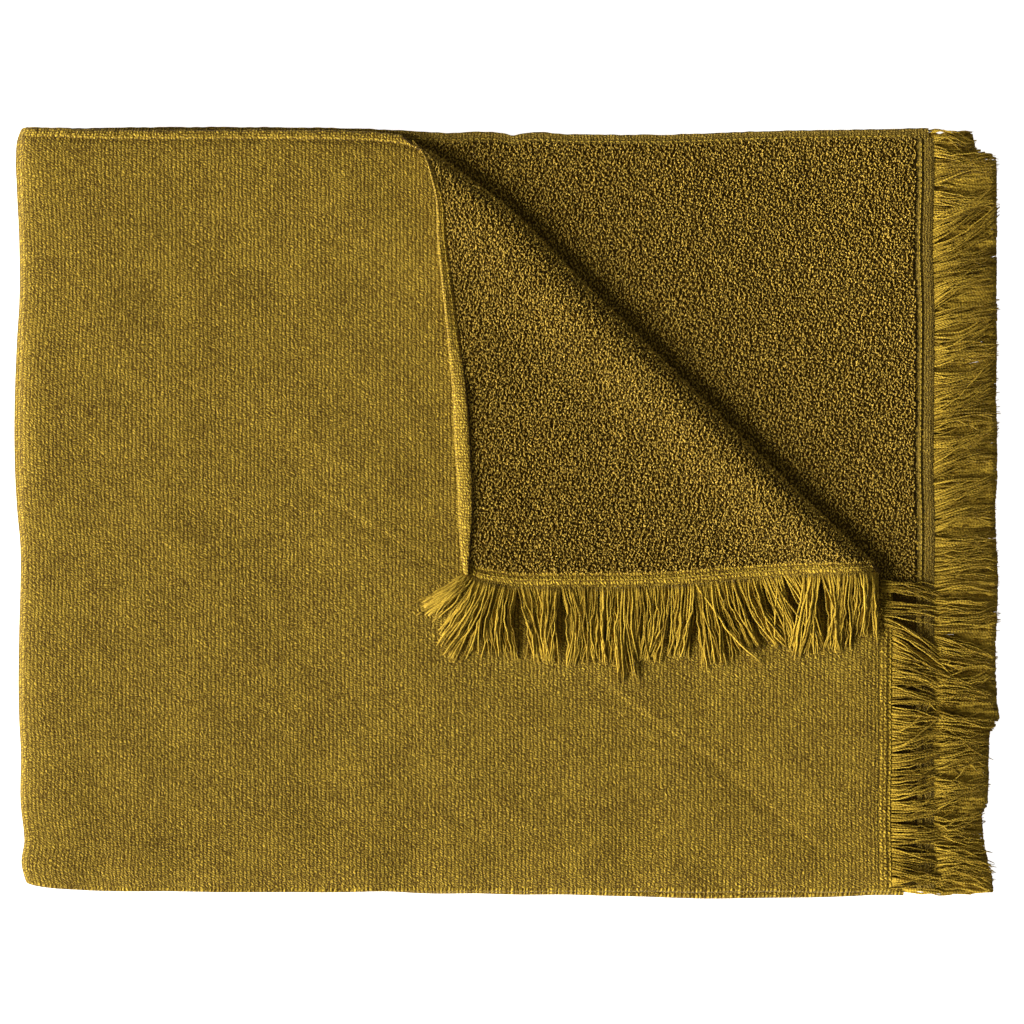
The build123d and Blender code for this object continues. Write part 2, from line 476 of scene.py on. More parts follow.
def shell(name, upper, lower, flat, skins):
    """A closed piece of cloth between an upper and a lower grid of points."""
    rows, columns = upper.shape[:2]
    count = rows * columns
    i = np.arange(count).reshape(rows, columns)
    faces = np.stack([i[:-1, :-1], i[:-1, 1:], i[1:, 1:], i[1:, :-1]], -1).reshape(-1, 4)
    border = np.concatenate([i[0], i[1:, -1], i[-1, -2::-1], i[-2:0:-1, 0]])
    after = np.roll(border, -1)
    walls = np.stack([border, border + count, after + count, after], -1)
    quads = np.concatenate([faces, faces[:, ::-1] + count, walls])
    under = np.arange(len(quads)) >= len(faces)
    points = np.concatenate([upper.reshape(-1, 3), lower.reshape(-1, 3)])
    flat = np.tile(flat.reshape(-1, 2), (2, 1))
    piece = mesh_piece(name, points, quads, flat, skins, under & (len(skins) > 1), sharp=False)
    work = bmesh.new()
    work.from_mesh(piece.data)
    bmesh.ops.recalc_face_normals(work, faces=work.faces)
    work.to_mesh(piece.data)
    work.free()
    piece.data.set_sharp_from_angle(angle=math.radians(52))
    return piece


def tubes(name, paths, radii, flat, skin):
    """Many closed four-sided tubes as one piece, along paths of equally many points."""
    count, steps = paths.shape[:2]
    along = np.gradient(paths, axis=1)
    along /= np.linalg.norm(along, axis=2, keepdims=True) + 1e-9
    side = np.cross(along, [0.06, 0.08, 0.995])
    side /= np.linalg.norm(side, axis=2, keepdims=True) + 1e-9
    up = np.cross(side, along)
    turn = np.radians([45, 135, 225, 315])
    ring = side[:, :, None] * np.cos(turn)[:, None] + up[:, :, None] * np.sin(turn)[:, None]
    points = (paths[:, :, None] + ring * radii[:, :, None, None]).reshape(-1, 3)
    i = np.arange(count * steps * 4).reshape(count, steps, 4)
    j = np.roll(i, -1, axis=2)
    walls = np.stack([i[:, :-1], i[:, 1:], j[:, 1:], j[:, :-1]], -1).reshape(-1, 4)
    quads = np.concatenate([walls, i[:, 0], i[:, -1, ::-1]])
    round_tube = np.tile([[0, 0], [0.3, 0], [0.6, 0], [0.3, 0]], (count * steps, 1))
    flat = np.repeat(flat.reshape(-1, 2), 4, axis=0) + round_tube
    return mesh_piece(name, points, quads, flat, [skin], sharp=False)


def show_for(piece, node, body, slot):
    """The piece stands for a CAD node and moves with its body."""
    if body:
        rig.ride(piece, body)
    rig.replaces(piece, node)
    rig.slot(piece, slot)
    return piece


# --- materials ---


class Nodes:
    """Adds a material's shader nodes and links them."""

    def __init__(self, material):
        material.use_nodes = True
        self.tree = material.node_tree
        self.tree.nodes.clear()

    def add(self, kind, *values, **settings):
        node = self.tree.nodes.new(kind)
        for key, value in settings.items():
            setattr(node, key, value)
        for socket, value in zip(node.inputs, values):
            self.feed(socket, value)
        return node

    def feed(self, socket, value):
        if isinstance(value, bpy.types.NodeSocket):
            self.tree.links.new(value, socket)
        elif value is not None:
            socket.default_value = value

    def math(self, operation, *values):
        return self.add("ShaderNodeMath", *values, operation=operation).outputs[0]

    def vector(self, operation, *values):
        return self.add("ShaderNodeVectorMath", *values, operation=operation).outputs[0]

    def noise(self, vector, scale, detail=2.0):
        node = self.add("ShaderNodeTexNoise")
        self.feed(node.inputs["Vector"], vector)
        node.inputs["Scale"].default_value = scale
        node.inputs["Detail"].default_value = detail
        return node

    def chance(self, vector):
        node = self.add("ShaderNodeTexWhiteNoise", noise_dimensions="2D")
        self.feed(node.inputs["Vector"], vector)
        return node.outputs["Value"]

    def between(self, factor, low, high):
        """low where factor is 0 and high where it is 1."""
        return self.math("MULTIPLY_ADD", factor, high - low, low)

    def blend(self, factor, a, b):
        node = self.add("ShaderNodeMix", data_type="RGBA")
        self.feed(node.inputs[0], factor)
        self.feed(node.inputs[6], a)
        self.feed(node.inputs[7], b)
        return node.outputs[2]

    def bump_in_cell(self, share):
        """0 at a cell's edges and 1 in its middle."""
        centred = self.math("ABSOLUTE", self.math("MULTIPLY_ADD", share, 2.0, -1.0))
        return self.math("SUBTRACT", 1.0, self.math("POWER", centred, 1.6))

    def finish(self, colour, height, depth, roughness, sheen):
        shader = self.add("ShaderNodeBsdfPrincipled")
        self.feed(shader.inputs["Base Color"], colour)
        shader.inputs["Roughness"].default_value = roughness
        shader.inputs["Specular IOR Level"].default_value = 0.08
        shader.inputs["Sheen Weight"].default_value = sheen
        shader.inputs["Sheen Roughness"].default_value = 0.5
        if height is not None:
            bump = self.add("ShaderNodeBump")
            bump.inputs["Strength"].default_value = 1.0
            bump.inputs["Distance"].default_value = depth
            self.feed(bump.inputs["Height"], height)
            self.feed(shader.inputs["Normal"], bump.outputs[0])
        output = self.add("ShaderNodeOutputMaterial")
        self.tree.links.new(shader.outputs[0], output.inputs[0])
        return shader


def weave(nodes, light, dark, column, row, slant, depth=0.0007, contrast=1.0, mottle=0.16):
    """Columns of short slanted floats, every other one of them raised, as in a crepe weave."""
    place_on_cloth = nodes.add("ShaderNodeUVMap", uv_map="flat_cloth").outputs[0]
    wander = nodes.noise(place_on_cloth, 180.0, 2.0).outputs["Color"]
    drift = nodes.vector("SUBTRACT", wander, (0.5, 0.5, 0.5))
    drift = nodes.vector("MULTIPLY", drift, (0.0044, 0.0056, 0.0))
    split = nodes.add("ShaderNodeSeparateXYZ", nodes.vector("ADD", place_on_cloth, drift))
    across = nodes.math("DIVIDE", split.outputs[0], column)
    column_number, across_share = nodes.math("FLOOR", across), nodes.math("FRACT", across)
    tilt = nodes.math("MULTIPLY", across_share, slant)
    along = nodes.math("ADD", nodes.math("DIVIDE", split.outputs[1], row), tilt)
    row_number, along_share = nodes.math("FLOOR", along), nodes.math("FRACT", along)
    chance = nodes.chance(nodes.add("ShaderNodeCombineXYZ", column_number, row_number, 0.0).outputs[0])
    odd = nodes.math("PINGPONG", nodes.math("ADD", column_number, row_number), 1.0)
    yarn = nodes.math("MULTIPLY", nodes.bump_in_cell(across_share), nodes.bump_in_cell(along_share))
    size = nodes.between(chance, 1.0 - 0.65 * contrast, 1.0 + 0.25 * contrast)
    size = nodes.math("ADD", size, nodes.math("MULTIPLY", odd, 0.3))
    grain = nodes.math("SUBTRACT", nodes.noise(place_on_cloth, 700.0, 2.0).outputs["Fac"], 0.5)
    height = nodes.math("MULTIPLY_ADD", grain, 1.9 * contrast, nodes.math("MULTIPLY", yarn, size))
    patches = nodes.noise(place_on_cloth, 30.0, 4.0).outputs["Fac"]
    # The colour follows the height: painted shade in the gaps between the yarns and painted highlight on their tops;
    # the patches add the cloth's own uneven tone.
    shade = nodes.math("MULTIPLY_ADD", nodes.math("SUBTRACT", patches, 0.5), 2 * mottle, height)
    ramp = nodes.add("ShaderNodeMapRange", shade, -0.05, 1.1, 0.0, 1.0)
    ramp.clamp = True
    return nodes.blend(ramp.outputs[0], dark, light), height, depth


def pile(nodes, light, dark):
    """Each loop has its own shade."""
    place_on_cloth = nodes.add("ShaderNodeUVMap", uv_map="flat_cloth").outputs[0]
    fine = nodes.noise(place_on_cloth, 700.0, 2.0).outputs["Fac"]
    patches = nodes.noise(place_on_cloth, 60.0, 3.0).outputs["Fac"]
    # Each loop takes a tone between the two colours: partly the yarn's own uneven tone and partly painted shade in the
    # pile.
    shade = nodes.math("ADD", nodes.math("MULTIPLY", fine, 0.9), nodes.math("MULTIPLY", patches, 0.5))
    ramp = nodes.add("ShaderNodeMapRange", shade, 0.52, 0.90, 0.0, 1.0)
    ramp.clamp = True
    return nodes.blend(ramp.outputs[0], dark, light), fine, 0.0008


def yarn(nodes, light, dark, twist):
    """Spun yarn, with a shade of its own and twisted plies."""
    place_on_cloth = nodes.add("ShaderNodeUVMap", uv_map="flat_cloth").outputs[0]
    split = nodes.add("ShaderNodeSeparateXYZ", place_on_cloth)
    turns = nodes.math("SINE", nodes.math("ADD", nodes.math("MULTIPLY", split.outputs[0], twist * 2.4),
                                          nodes.math("MULTIPLY", split.outputs[1], twist)))
    patches = nodes.noise(place_on_cloth, 240.0, 2.0).outputs["Fac"]
    own = nodes.noise(place_on_cloth, 14.0, 1.0).outputs["Fac"]
    shade = nodes.math("ADD", nodes.math("MULTIPLY", patches, 0.5), own)
    # The twist's stripes in the colour are painted shade between the plies.
    shade = nodes.math("ADD", nodes.math("MULTIPLY", turns, 0.04), shade)
    ramp = nodes.add("ShaderNodeMapRange", shade, 0.55, 0.92, 0.0, 1.0)
    ramp.clamp = True
    return nodes.blend(ramp.outputs[0], dark, light), turns, 0.0001


def tone_and_painted_light(colour, share):
    """A colour made lighter or darker by a share: painted highlight on the hems and end bands, painted shade on the
    looped ground and the looped hem, and the own darker tone of the looped end band.
    """
    return (*(share * c for c in colour[:3]), 1.0)


def cloth_material(skin):
    """The material of one kind of cloth or yarn, made the first time that it is asked for."""
    name = f"throw_{skin}"
    if name in bpy.data.materials:
        return bpy.data.materials[name]
    finish = bpy.context.scene.throw_finish
    light, dark = (*finish.yarn_colour, 1.0), (*finish.shade_colour, 1.0)
    loop_light, loop_dark = (*finish.loop_colour, 1.0), (*finish.loop_shade_colour, 1.0)
    fringe_light, fringe_dark = (*finish.fringe_colour, 1.0), (*finish.fringe_shade_colour, 1.0)
    column, row = finish.weave_column, finish.weave_row
    material = bpy.data.materials.new(name)
    nodes = Nodes(material)
    woven = {
        "flat_weave": (light, dark, column, row, 0.8),
        # Painted highlight: the hems take a lighter copy of the yarn colours, for the light that catches their raised
        # edges.
        "hem_cloth": (tone_and_painted_light(light, 1.2), tone_and_painted_light(dark, 1.2), 0.8 * column, 1.2 * row, 0.35, 0.0009),
        # The looped face's hem is darker partly for its own looped yarn and partly as painted shade where the top
        # layer's hem shadows it.
        "hem_back": (tone_and_painted_light(loop_light, 0.6), tone_and_painted_light(loop_dark, 0.7), 0.8 * column, 0.9 * row, 0.35, 0.0009),
        # Painted highlight: the end bands take a lighter copy of the yarn colours too.
        "end_band_cloth": (tone_and_painted_light(light, 1.2), tone_and_painted_light(dark, 1.2), column, 1.5 * row, 0.35),
        "end_band_back": (
            tone_and_painted_light(loop_light, 0.65), tone_and_painted_light(loop_dark, 0.65), 0.7 * column, 0.6 * row, 0.3, 0.0008,
        ),
        # Painted shade: the cloth under the loops is given a dark copy of the loop shade colour, for the shadow between
        # the loops.
        "looped_ground": (loop_dark, tone_and_painted_light(loop_dark, 0.4), 0.7 * column, 0.7 * row, 0.3),
    }
    if skin in woven:
        look = weave(nodes, *woven[skin])
    elif skin == "looped_face":
        look = pile(nodes, loop_light, loop_dark)
    elif skin == "fringe_yarn":
        look = yarn(nodes, fringe_light, fringe_dark, 2600.0)
    else:
        look = yarn(nodes, light, light, 4000.0)
    nodes.finish(*look, roughness=0.85, sheen=finish.sheen)
    return material


# --- the layers ---


def right_edge(layer, y):
    """Where a layer's panel and hem end, row by row."""
    band = np.full(np.shape(y), layer.end - BAND_WIDTH)
    if layer.name != "top":
        return band
    return np.minimum(band, crease_at_flat(y))


def groove(distance, width, depth):
    """A dent with its bottom at distance 0."""
    return -depth * np.exp(-((distance / width) ** 2))


def panel(layer, fine):
    """The middle of a layer, between its folds, hem and end band."""
    hem_foot = HEM_Y - HEM_WIDTH
    ys = np.concatenate([np.arange(SIDE_Y, hem_foot - 8, fine), np.linspace(hem_foot - 8, hem_foot, 9)])
    columns = int((layer.end - BAND_WIDTH - FOLD_X) / fine)
    share = np.concatenate([np.linspace(0, 0.98, columns), np.linspace(0.984, 1, 9)])
    x = FOLD_X + share * (right_edge(layer, ys) - FOLD_X)[:, None]
    y = np.broadcast_to(ys[:, None], x.shape)
    looped = layer.name == "upper_middle"
    relief = groove(hem_foot - y, 2.4, 0.3 if looped else 1.3)
    band_foot = layer.end - BAND_WIDTH - x
    if looped:
        relief = relief + groove(band_foot, 1.0, 1.1)
    else:
        relief = relief + groove(band_foot, 1.0, 0.35)
        relief = relief + groove(band_foot - 3.4, 0.8, 0.3) + groove(band_foot - 6.8, 0.8, 0.25)
    pile_room = 1.1 if looped else 0.0
    upper = place(layer, x, y, layer.low + CLOTH - pile_room + relief)
    lower = place(layer, x, y, np.full(x.shape, layer.low))
    flat_side_up = layer.name in ("top", "lower_middle")
    skins = ["flat_weave", "looped_ground"] if flat_side_up else ["looped_ground", "flat_weave"]
    node = f"{layer.name}_panel"
    slot = "looped_face" if looped else "flat_weave"
    return show_for(shell(f"throw_{node}", upper, lower, np.stack([x, y], -1), skins), node, layer.body, slot)


# Distance in from the edge, top and foot of the side hem.
HEM_SECTION = (
    (0.0, 1.7, 1.3), (0.5, 2.6, 0.4), (1.4, 3.2, 0.0), (2.8, 3.6, 0.0), (4.6, 3.7, 0.0),
    (6.0, 3.4, 0.0), (7.0, 2.6, 0.0), (8.0, 1.5, 0.0), (8.5, 1.1, 0.2),
)


def side_hem(layer):
    """A layer's turned and stitched side edge."""
    inward, top, foot = np.array(HEM_SECTION).T
    ys = HEM_Y - inward * HEM_WIDTH / 8.5
    count = int((layer.end - FOLD_X) / 2.5)
    last = right_edge(layer, ys) + (0 if layer.name == "top" else BAND_WIDTH)
    x = FOLD_X + np.linspace(0, 1, count)[:, None] * (last - FOLD_X)
    y = np.broadcast_to(ys, x.shape)
    pucker = 1 + 0.10 * ripple(x, y, 9, layer.end_wander + 20)
    pucker = pucker + 0.06 * ripple(x, y, 34, layer.end_wander + 21)
    outer = 0.35 * ripple(x, 0 * x, 14, layer.end_wander + 22)
    looped = layer.name == "upper_middle"
    if looped:
        top = np.minimum(top, 2.5) + np.where(inward > 6, 2.2 - np.minimum(top, 2.2), 0)
    upper = place(layer, x, y + outer, layer.low + top * pucker)
    lower = place(layer, x, y + outer, layer.low + np.broadcast_to(foot, x.shape))
    node = f"{layer.name}_side_hem"
    skins = ["hem_back", "hem_cloth"] if looped else ["hem_cloth"]
    piece = shell(f"throw_{node}", upper, lower, np.stack([x, y], -1), skins)
    return show_for(piece, node, layer.body, "hem_cloth")


def stitches(name, centres, along, low, node, body):
    """A row of short raised stitches."""
    s = np.linspace(-1, 1, 6)
    paths = centres[:, None] + along[:, None] * (1.75 * s)[:, None]
    paths[..., 2] += low + 0.42 * (1 - s**4) - 0.25
    radii = np.broadcast_to(0.42 * np.sqrt(1.15 - s**2), paths.shape[:2])
    flat = paths[..., :2]
    return show_for(tubes(name, paths, radii, flat, "sewing_thread"), node, body, "sewing_thread")


def hem_thread(layer):
    """The stitching along a layer's hem."""
    y = HEM_Y - 0.75 * HEM_WIDTH
    last = float(right_edge(layer, np.array(y))) - 8
    x = np.arange(FOLD_X + 8, last, 5.0)
    centres = place(layer, x, np.full(x.shape, y), np.full(x.shape, layer.low + 3.2))
    along = np.tile([1.0, 0, 0], (len(x), 1))
    node = f"{layer.name}_hem_thread"
    return stitches(f"throw_{node}", centres, along, 0.1, node, layer.body)


# Distance in from the end, top and foot of the end band, flat face up and looped face up.
FLAT_BAND = (
    (-2.0, 1.2, 0.4), (-1.0, 1.7, 0.0), (0.0, 2.2, 0.0), (0.9, 2.1, 0.0), (1.8, 2.0, 0.0), (2.8, 2.7, 0.0),
    (4.0, 2.9, 0.0), (5.6, 2.7, 0.0), (7.2, 2.95, 0.0), (8.8, 2.75, 0.0), (10.0, 2.65, 0.2),
)
LOOPED_BAND = (
    (-5.5, 1.2, 0.3), (-4.5, 1.8, 0.0), (-2.0, 2.1, 0.0), (0.0, 2.2, 0.0), (2.0, 2.1, 0.0), (3.4, 1.9, 0.0),
    (4.3, 0.9, 0.0), (5.2, 2.1, 0.0), (6.3, 2.8, 0.0), (7.4, 2.2, 0.0), (8.6, 1.9, 0.0), (10.0, 0.8, 0.2),
)


def top_of_end(layer):
    """How far a layer's end band and fringe reach towards the hem."""
    return float(crease[-1, 1]) - 2 if layer.name == "top" else HEM_Y - HEM_WIDTH


def end_band(layer):
    """The firmly woven strip at a layer's end, with its raised rows."""
    looped = layer.name == "upper_middle"
    inward, top, foot = np.array(LOOPED_BAND if looped else FLAT_BAND).T
    xs = (layer.end - inward * BAND_WIDTH / 10)[::-1]
    top, foot = top[::-1], foot[::-1]
    ys = np.linspace(SIDE_Y, top_of_end(layer), int((top_of_end(layer) - SIDE_Y) / 2.2))
    x, y = np.meshgrid(xs, ys)
    pucker = 1 + 0.07 * ripple(x, y, 8, layer.end_wander + 30)
    upper = place(layer, x, y, layer.low + top * pucker)
    lower = place(layer, x, y, layer.low + np.broadcast_to(foot, x.shape))
    node = f"{layer.name}_end_band"
    skins = ["end_band_back", "end_band_cloth"] if looped else ["end_band_cloth"]
    piece = shell(f"throw_{node}", upper, lower, np.stack([x, y], -1), skins)
    return show_for(piece, node, layer.body, "end_band_cloth")


def end_thread(layer):
    """The stitching along a layer's end band."""
    y = np.arange(SIDE_Y + 4, top_of_end(layer) - 4, 4.4)
    looped = layer.name == "upper_middle"
    x = np.full(y.shape, layer.end - (0.63 if looped else 0.0) * BAND_WIDTH)
    centres = place(layer, x, y, np.full(y.shape, layer.low + (2.5 if looped else 2.0)))
    along = np.tile([0, 1.0, 0], (len(y), 1))
    node = f"{layer.name}_end_thread"
    return stitches(f"throw_{node}", centres, along, 0.15, node, layer.body)


# --- the folds ---


def half_turn(count):
    """Angles over half a ring, from its lower end to its upper one."""
    return np.linspace(-math.pi / 2, math.pi / 2, count)


def side_fold(name, lower, upper):
    """The lengthwise fold between two layers, along the side away from their hems."""
    middle = (lower.low + CLOTH + upper.low) / 2
    last = min(lower.end, upper.end)
    x = np.linspace(FOLD_X, last, int((last - FOLD_X) / 3))[:, None]
    turn = half_turn(13)
    share = (1 + np.sin(turn)) / 2 + 0 * x
    grids = []
    for radius in (upper.low - middle + CLOTH, upper.low - middle):
        puff = 0.4 * ripple(x, 0 * x, 60, 41)
        y = SIDE_Y - (radius + puff) * np.cos(turn)
        z = middle + radius * np.sin(turn) + 0 * x
        grids.append(place_between(lower, upper, share, x + 0 * y, y, z))
    flat = np.stack([x + 0 * share, SIDE_Y - 6.3 * share], -1)
    piece = shell(f"throw_{name}", *grids, flat, ["flat_weave"])
    return show_for(piece, name, lower.body, "flat_weave")


def cross_fold(name, lower, upper, blend_from, blend_to):
    """One of the two crosswise folds that join the halves of the stack."""
    radius = upper.low + CLOTH - FOLD_Z
    y = np.linspace(SIDE_Y, HEM_Y, 260)[:, None]
    turn = half_turn(25)
    share = (1 + np.sin(turn)) / 2 + 0 * y
    grids = []
    for r in (radius, radius - CLOTH):
        x = FOLD_X - r * np.cos(turn) + 0 * y
        z = FOLD_Z + r * np.sin(turn) + 0 * y
        grids.append(place_between(lower, upper, share, x, y + 0 * x, z))
    flat = np.stack([FOLD_X - radius * (turn + math.pi / 2) + 0 * y, y + 0 * turn], -1)
    piece = shell(f"throw_{name}", *grids, flat, ["flat_weave"])
    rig.blend(
        piece, "lower_half", "upper_half", (FOLD_X * MM, 0, blend_from * MM), (FOLD_X * MM, 0, blend_to * MM)
    )
    return show_for(piece, name, None, "flat_weave")


def double_fold_corner():
    """Where the lengthwise fold goes round the crosswise one."""
    upper, inner = layers["top"], layers["upper_middle"]
    middle = (inner.low + CLOTH + upper.low) / 2
    ring, turn = half_turn(11), half_turn(25)[:, None]
    share = (1 + np.sin(turn)) / 2 + 0 * ring
    grids = []
    for r in (upper.low - middle + CLOTH, upper.low - middle):
        reach = middle - FOLD_Z + r * np.sin(ring)
        x = FOLD_X - reach * np.cos(turn)
        y = SIDE_Y - r * np.cos(ring) + 0 * turn
        z = FOLD_Z + reach * np.sin(turn)
        grids.append(place_between(layers["bottom"], upper, share, x, y, z))
    flat = np.stack([FOLD_X - 7 * turn + 0 * share, SIDE_Y - 6.3 * ring / math.pi + 0 * turn], -1)
    piece = shell("throw_double_fold_corner", *grids, flat, ["flat_weave"])
    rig.blend(piece, "lower_half", "upper_half", (FOLD_X * MM, 0, 4.5 * MM), (FOLD_X * MM, 0, 8.5 * MM))
    return show_for(piece, "double_fold_corner", None, "flat_weave")


# --- the turned corner ---

CREASE_RISE = 7.0  # how far the turned corner stands up beside the crease
ROLL = 18.0  # how far from the crease it stands highest
BAND_FROM = 0.972  # where along the turned corner its end band begins


def lies_down(piece, base=TURNED_Z, keep=0.25):
    """The piece goes flat as the turned corner opens."""
    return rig.squash(piece, "corner_fold", axis=(0, 0, 1), anchor=(0, 0, base * MM), keep=keep)


def turned_hem_line():
    """The outer edge of the turned corner's hem, from the crease to the tip."""
    along = TURNED_TIP - CREASE_START
    shares = [
        0.0135, 0.029, 0.063, 0.111, 0.161, 0.253, 0.345, 0.481, 0.618, 0.732, 0.846, 0.914, 0.963, 1.003
    ]
    right = [-7.7, -0.2, 6.7, 10.2, 11.9, 8.8, 7.9, 6.7, 4.6, 0.9, -1.8, -4.3, -5.1, -4.5]
    points = CREASE_START + np.array(shares)[:, None] * along
    points[:, 0] += right
    return curve_through(points, 300)


turned_hem = turned_hem_line()
hem_strip_width = profile(
    [0, 0.1, 0.2, 0.3, 0.5, 0.65, 0.8, 0.9, 0.96, 1.0],
    [3, 5, 7.5, 9, 11, 13, 13.2, 11, 7.5, 4.0],
)
# How far the end sags towards the side fold, from the hem to the crease.
end_sag = profile([0, 0.04, 0.1, 0.25, 0.5, 0.65, 0.8, 1], [-4, -10, -14.5, -15.5, -13, -8.0, -3.0, 0])


def turned_point(v, w, height):
    """A point of the turned corner: v runs from the crease's start to the end, w from hem to crease."""
    v, w = np.broadcast_arrays(np.asarray(v, float), np.asarray(w, float))
    at = np.linspace(0, 1, len(crease))
    hem = np.stack([np.interp(v, at, turned_hem[:, k]) for k in (0, 1)], -1)
    fold = np.stack([np.interp(v, at, crease[:, k]) for k in (0, 1)], -1)
    plan = hem * (1 - w[..., None]) + fold * w[..., None]
    x, y = plan[..., 0], plan[..., 1] + end_sag(w) * v**8
    from_crease = (1 - w) * np.linalg.norm(fold - hem, axis=-1)
    rise = CREASE_RISE * (0.85 + 0.25 * v) * smooth(v / 0.08) * np.where(
        from_crease > ROLL,
        np.exp(-(((from_crease - ROLL) / 48) ** 2)),
        1 - 0.6 * ((ROLL - from_crease) / ROLL) ** 2,
    )
    stand_off = 0.6 * (ripple(x, y, 70, 51) + 1) * smooth(from_crease / 40)
    return np.stack([x, y, TURNED_Z + rise + stand_off + height], -1)


def turned_flat(v, w):
    """Where a point of the turned corner is on the flat cloth."""
    side, end = CREASE_END[0] - CREASE_START[0], CREASE_START[1] - CREASE_END[1]
    return np.stack(np.broadcast_arrays(CREASE_START[0] + side * v, HEM_Y - end * v * w), -1)


def turned_width(v):
    """The turned corner's width from hem to crease."""
    across = turned_point(v, 0 * v, 0)[..., :2] - turned_point(v, 0 * v + 1, 0)[..., :2]
    return np.linalg.norm(across, axis=-1)


def turned_panel():
    """The looped ground of the turned corner."""
    v = np.linspace(0.02, BAND_FROM, 150)[:, None]
    first = np.clip(hem_strip_width(v) / turned_width(v), 0, 0.7)
    w = first + (1 - first) * np.linspace(0, 1, 110)
    v = np.broadcast_to(v, w.shape)
    upper = turned_point(v, w, CLOTH - 1.1)
    lower = turned_point(v, w, 0.0)
    skins = ["looped_ground", "flat_weave"]
    piece = shell("throw_turned_corner_panel", upper, lower, turned_flat(v, w), skins)
    return lies_down(show_for(piece, "turned_corner_panel", "turned_corner", "looped_face"))


def turned_side_hem():
    """The turned corner's hem, which stands up along its outer edge and rolls over near the tip."""
    v = np.linspace(0.022, 1.0, 200)[:, None]
    across = np.array([0, 0.05, 0.12, 0.22, 0.38, 0.6, 0.8, 0.92, 1.0])
    ridged = np.array([1.2, 3.4, 4.7, 5.0, 4.4, 3.9, 3.6, 3.2, 2.0])
    sloping = np.array([1.2, 2.6, 3.5, 4.3, 5.1, 5.8, 6.2, 5.8, 2.0])
    foot = np.array([1.2, 0.4, 0.0, 0, 0, 0, 0, 0, 0.2])
    width = hem_strip_width(v)
    w = across * np.clip(width / turned_width(v), 0, 0.72)
    v = np.broadcast_to(v, w.shape)
    top = ridged + (sloping - ridged) * smooth((v - 0.4) / 0.25)
    pucker = 1 + 0.08 * ripple(v * 380, w * 100, 11, 61) + 0.10 * ripple(v * 380, 0 * w, 60, 62)
    height = top * (0.15 + 0.85 * smooth((v - 0.02) / 0.1)) * pucker
    upper = turned_point(v, w, height)
    lower = turned_point(v, w, np.broadcast_to(foot, w.shape))
    piece = shell("throw_turned_corner_side_hem", upper, lower, turned_flat(v, w), ["hem_cloth"])
    return lies_down(show_for(piece, "turned_corner_side_hem", "turned_corner", "hem_cloth"))


def turned_end_band():
    """The turned corner's end band."""
    section = np.array([0, 0.2, 0.34, 0.42, 0.52, 0.65, 0.8, 0.93, 1.0])
    top = np.array([1.9, 1.9, 2.2, 2.8, 2.2, 2.0, 2.0, 1.7, 1.2])[:, None]
    v = (BAND_FROM + (1 - BAND_FROM) * section)[:, None]
    start = float(hem_strip_width(1.0) / turned_width(np.array(1.0)))
    w = start + (1 - start) * np.linspace(0, 1, 170) + 0 * v
    v = np.broadcast_to(v, w.shape)
    pucker = 1 + 0.08 * ripple(w * 360, v, 9, 63)
    upper = turned_point(v, w, top * pucker)
    lower = turned_point(v, w, 0.0 * w)
    piece = shell("throw_turned_corner_end_band", upper, lower, turned_flat(v, w), ["end_band_cloth"])
    return lies_down(show_for(piece, "turned_corner_end_band", "turned_corner", "end_band_cloth"))


def along_turned(v, w, dv, dw):
    """Unit directions along the turned corner."""
    step = turned_point(v + dv, w + dw, 0) - turned_point(v - dv, w - dw, 0)
    return step / np.linalg.norm(step, axis=-1, keepdims=True)


def turned_threads():
    """The stitching of the turned corner's hem and of its end band."""
    v = np.arange(0.14, 0.95, 5.0 / 378)
    w = 0.7 * hem_strip_width(v) / turned_width(v)
    centres = turned_point(v, w, 4.2)
    hem = stitches(
        "throw_turned_corner_hem_thread", centres, along_turned(v, w, 0.003, 0), 0.1,
        "turned_corner_hem_thread", "turned_corner",
    )
    w = np.arange(0.03, 0.97, 4.2 / 360)
    v = np.full(w.shape, BAND_FROM + 0.42 * (1 - BAND_FROM))
    centres = turned_point(v, w, 2.3)
    end = stitches(
        "throw_turned_corner_end_thread", centres, along_turned(v, w, 0, 0.004), 0.3,
        "turned_corner_end_thread", "turned_corner",
    )
    return lies_down(hem), lies_down(end)


def crease_frame(v, turn):
    """Points on the middle of the crease's roll and their outward directions."""
    at = np.linspace(0, 1, len(crease))
    fold = np.stack([np.interp(v, at, crease[:, k]) for k in (0, 1)], -1)
    run = np.gradient(crease, axis=0)
    run /= np.linalg.norm(run, axis=1, keepdims=True)
    out = np.stack([np.interp(v, at, -run[:, 1]), np.interp(v, at, run[:, 0])], -1)
    cos, sin = np.cos(turn), np.sin(turn)
    bulge = (1.2 + 1.8 * np.clip(cos, 0, 1)) * cos * smooth(0.35 + v / 0.06)
    z = TURNED_Z - 2.5 + (4 + 0.4 * CREASE_RISE * (0.85 + 0.25 * v) * smooth(v / 0.08)) * (1 + sin) / 2
    centre = np.stack([fold[..., 0] + out[..., 0] * bulge, fold[..., 1] + out[..., 1] * bulge, z + 0 * v], -1)
    normal = np.stack([out[..., 0] * cos, out[..., 1] * cos, sin + 0 * v], -1)
    return centre, normal


def corner_crease():
    """The roll of cloth along which the corner is turned back."""
    v = np.linspace(0.0, 1.0, 220)[:, None] + np.zeros(17)
    turn = half_turn(17) + 0 * v
    centre, normal = crease_frame(v, turn)
    grids = centre + 0.4 * normal, centre - 1.5 * normal
    flat = turned_flat(v, 1 + 0.01 * turn)
    piece = shell("throw_corner_crease", *grids, flat, ["looped_ground"])
    return lies_down(show_for(piece, "corner_crease", "upper_half", "looped_face"), TURNED_Z - 1, 0.1)


# --- loops ---


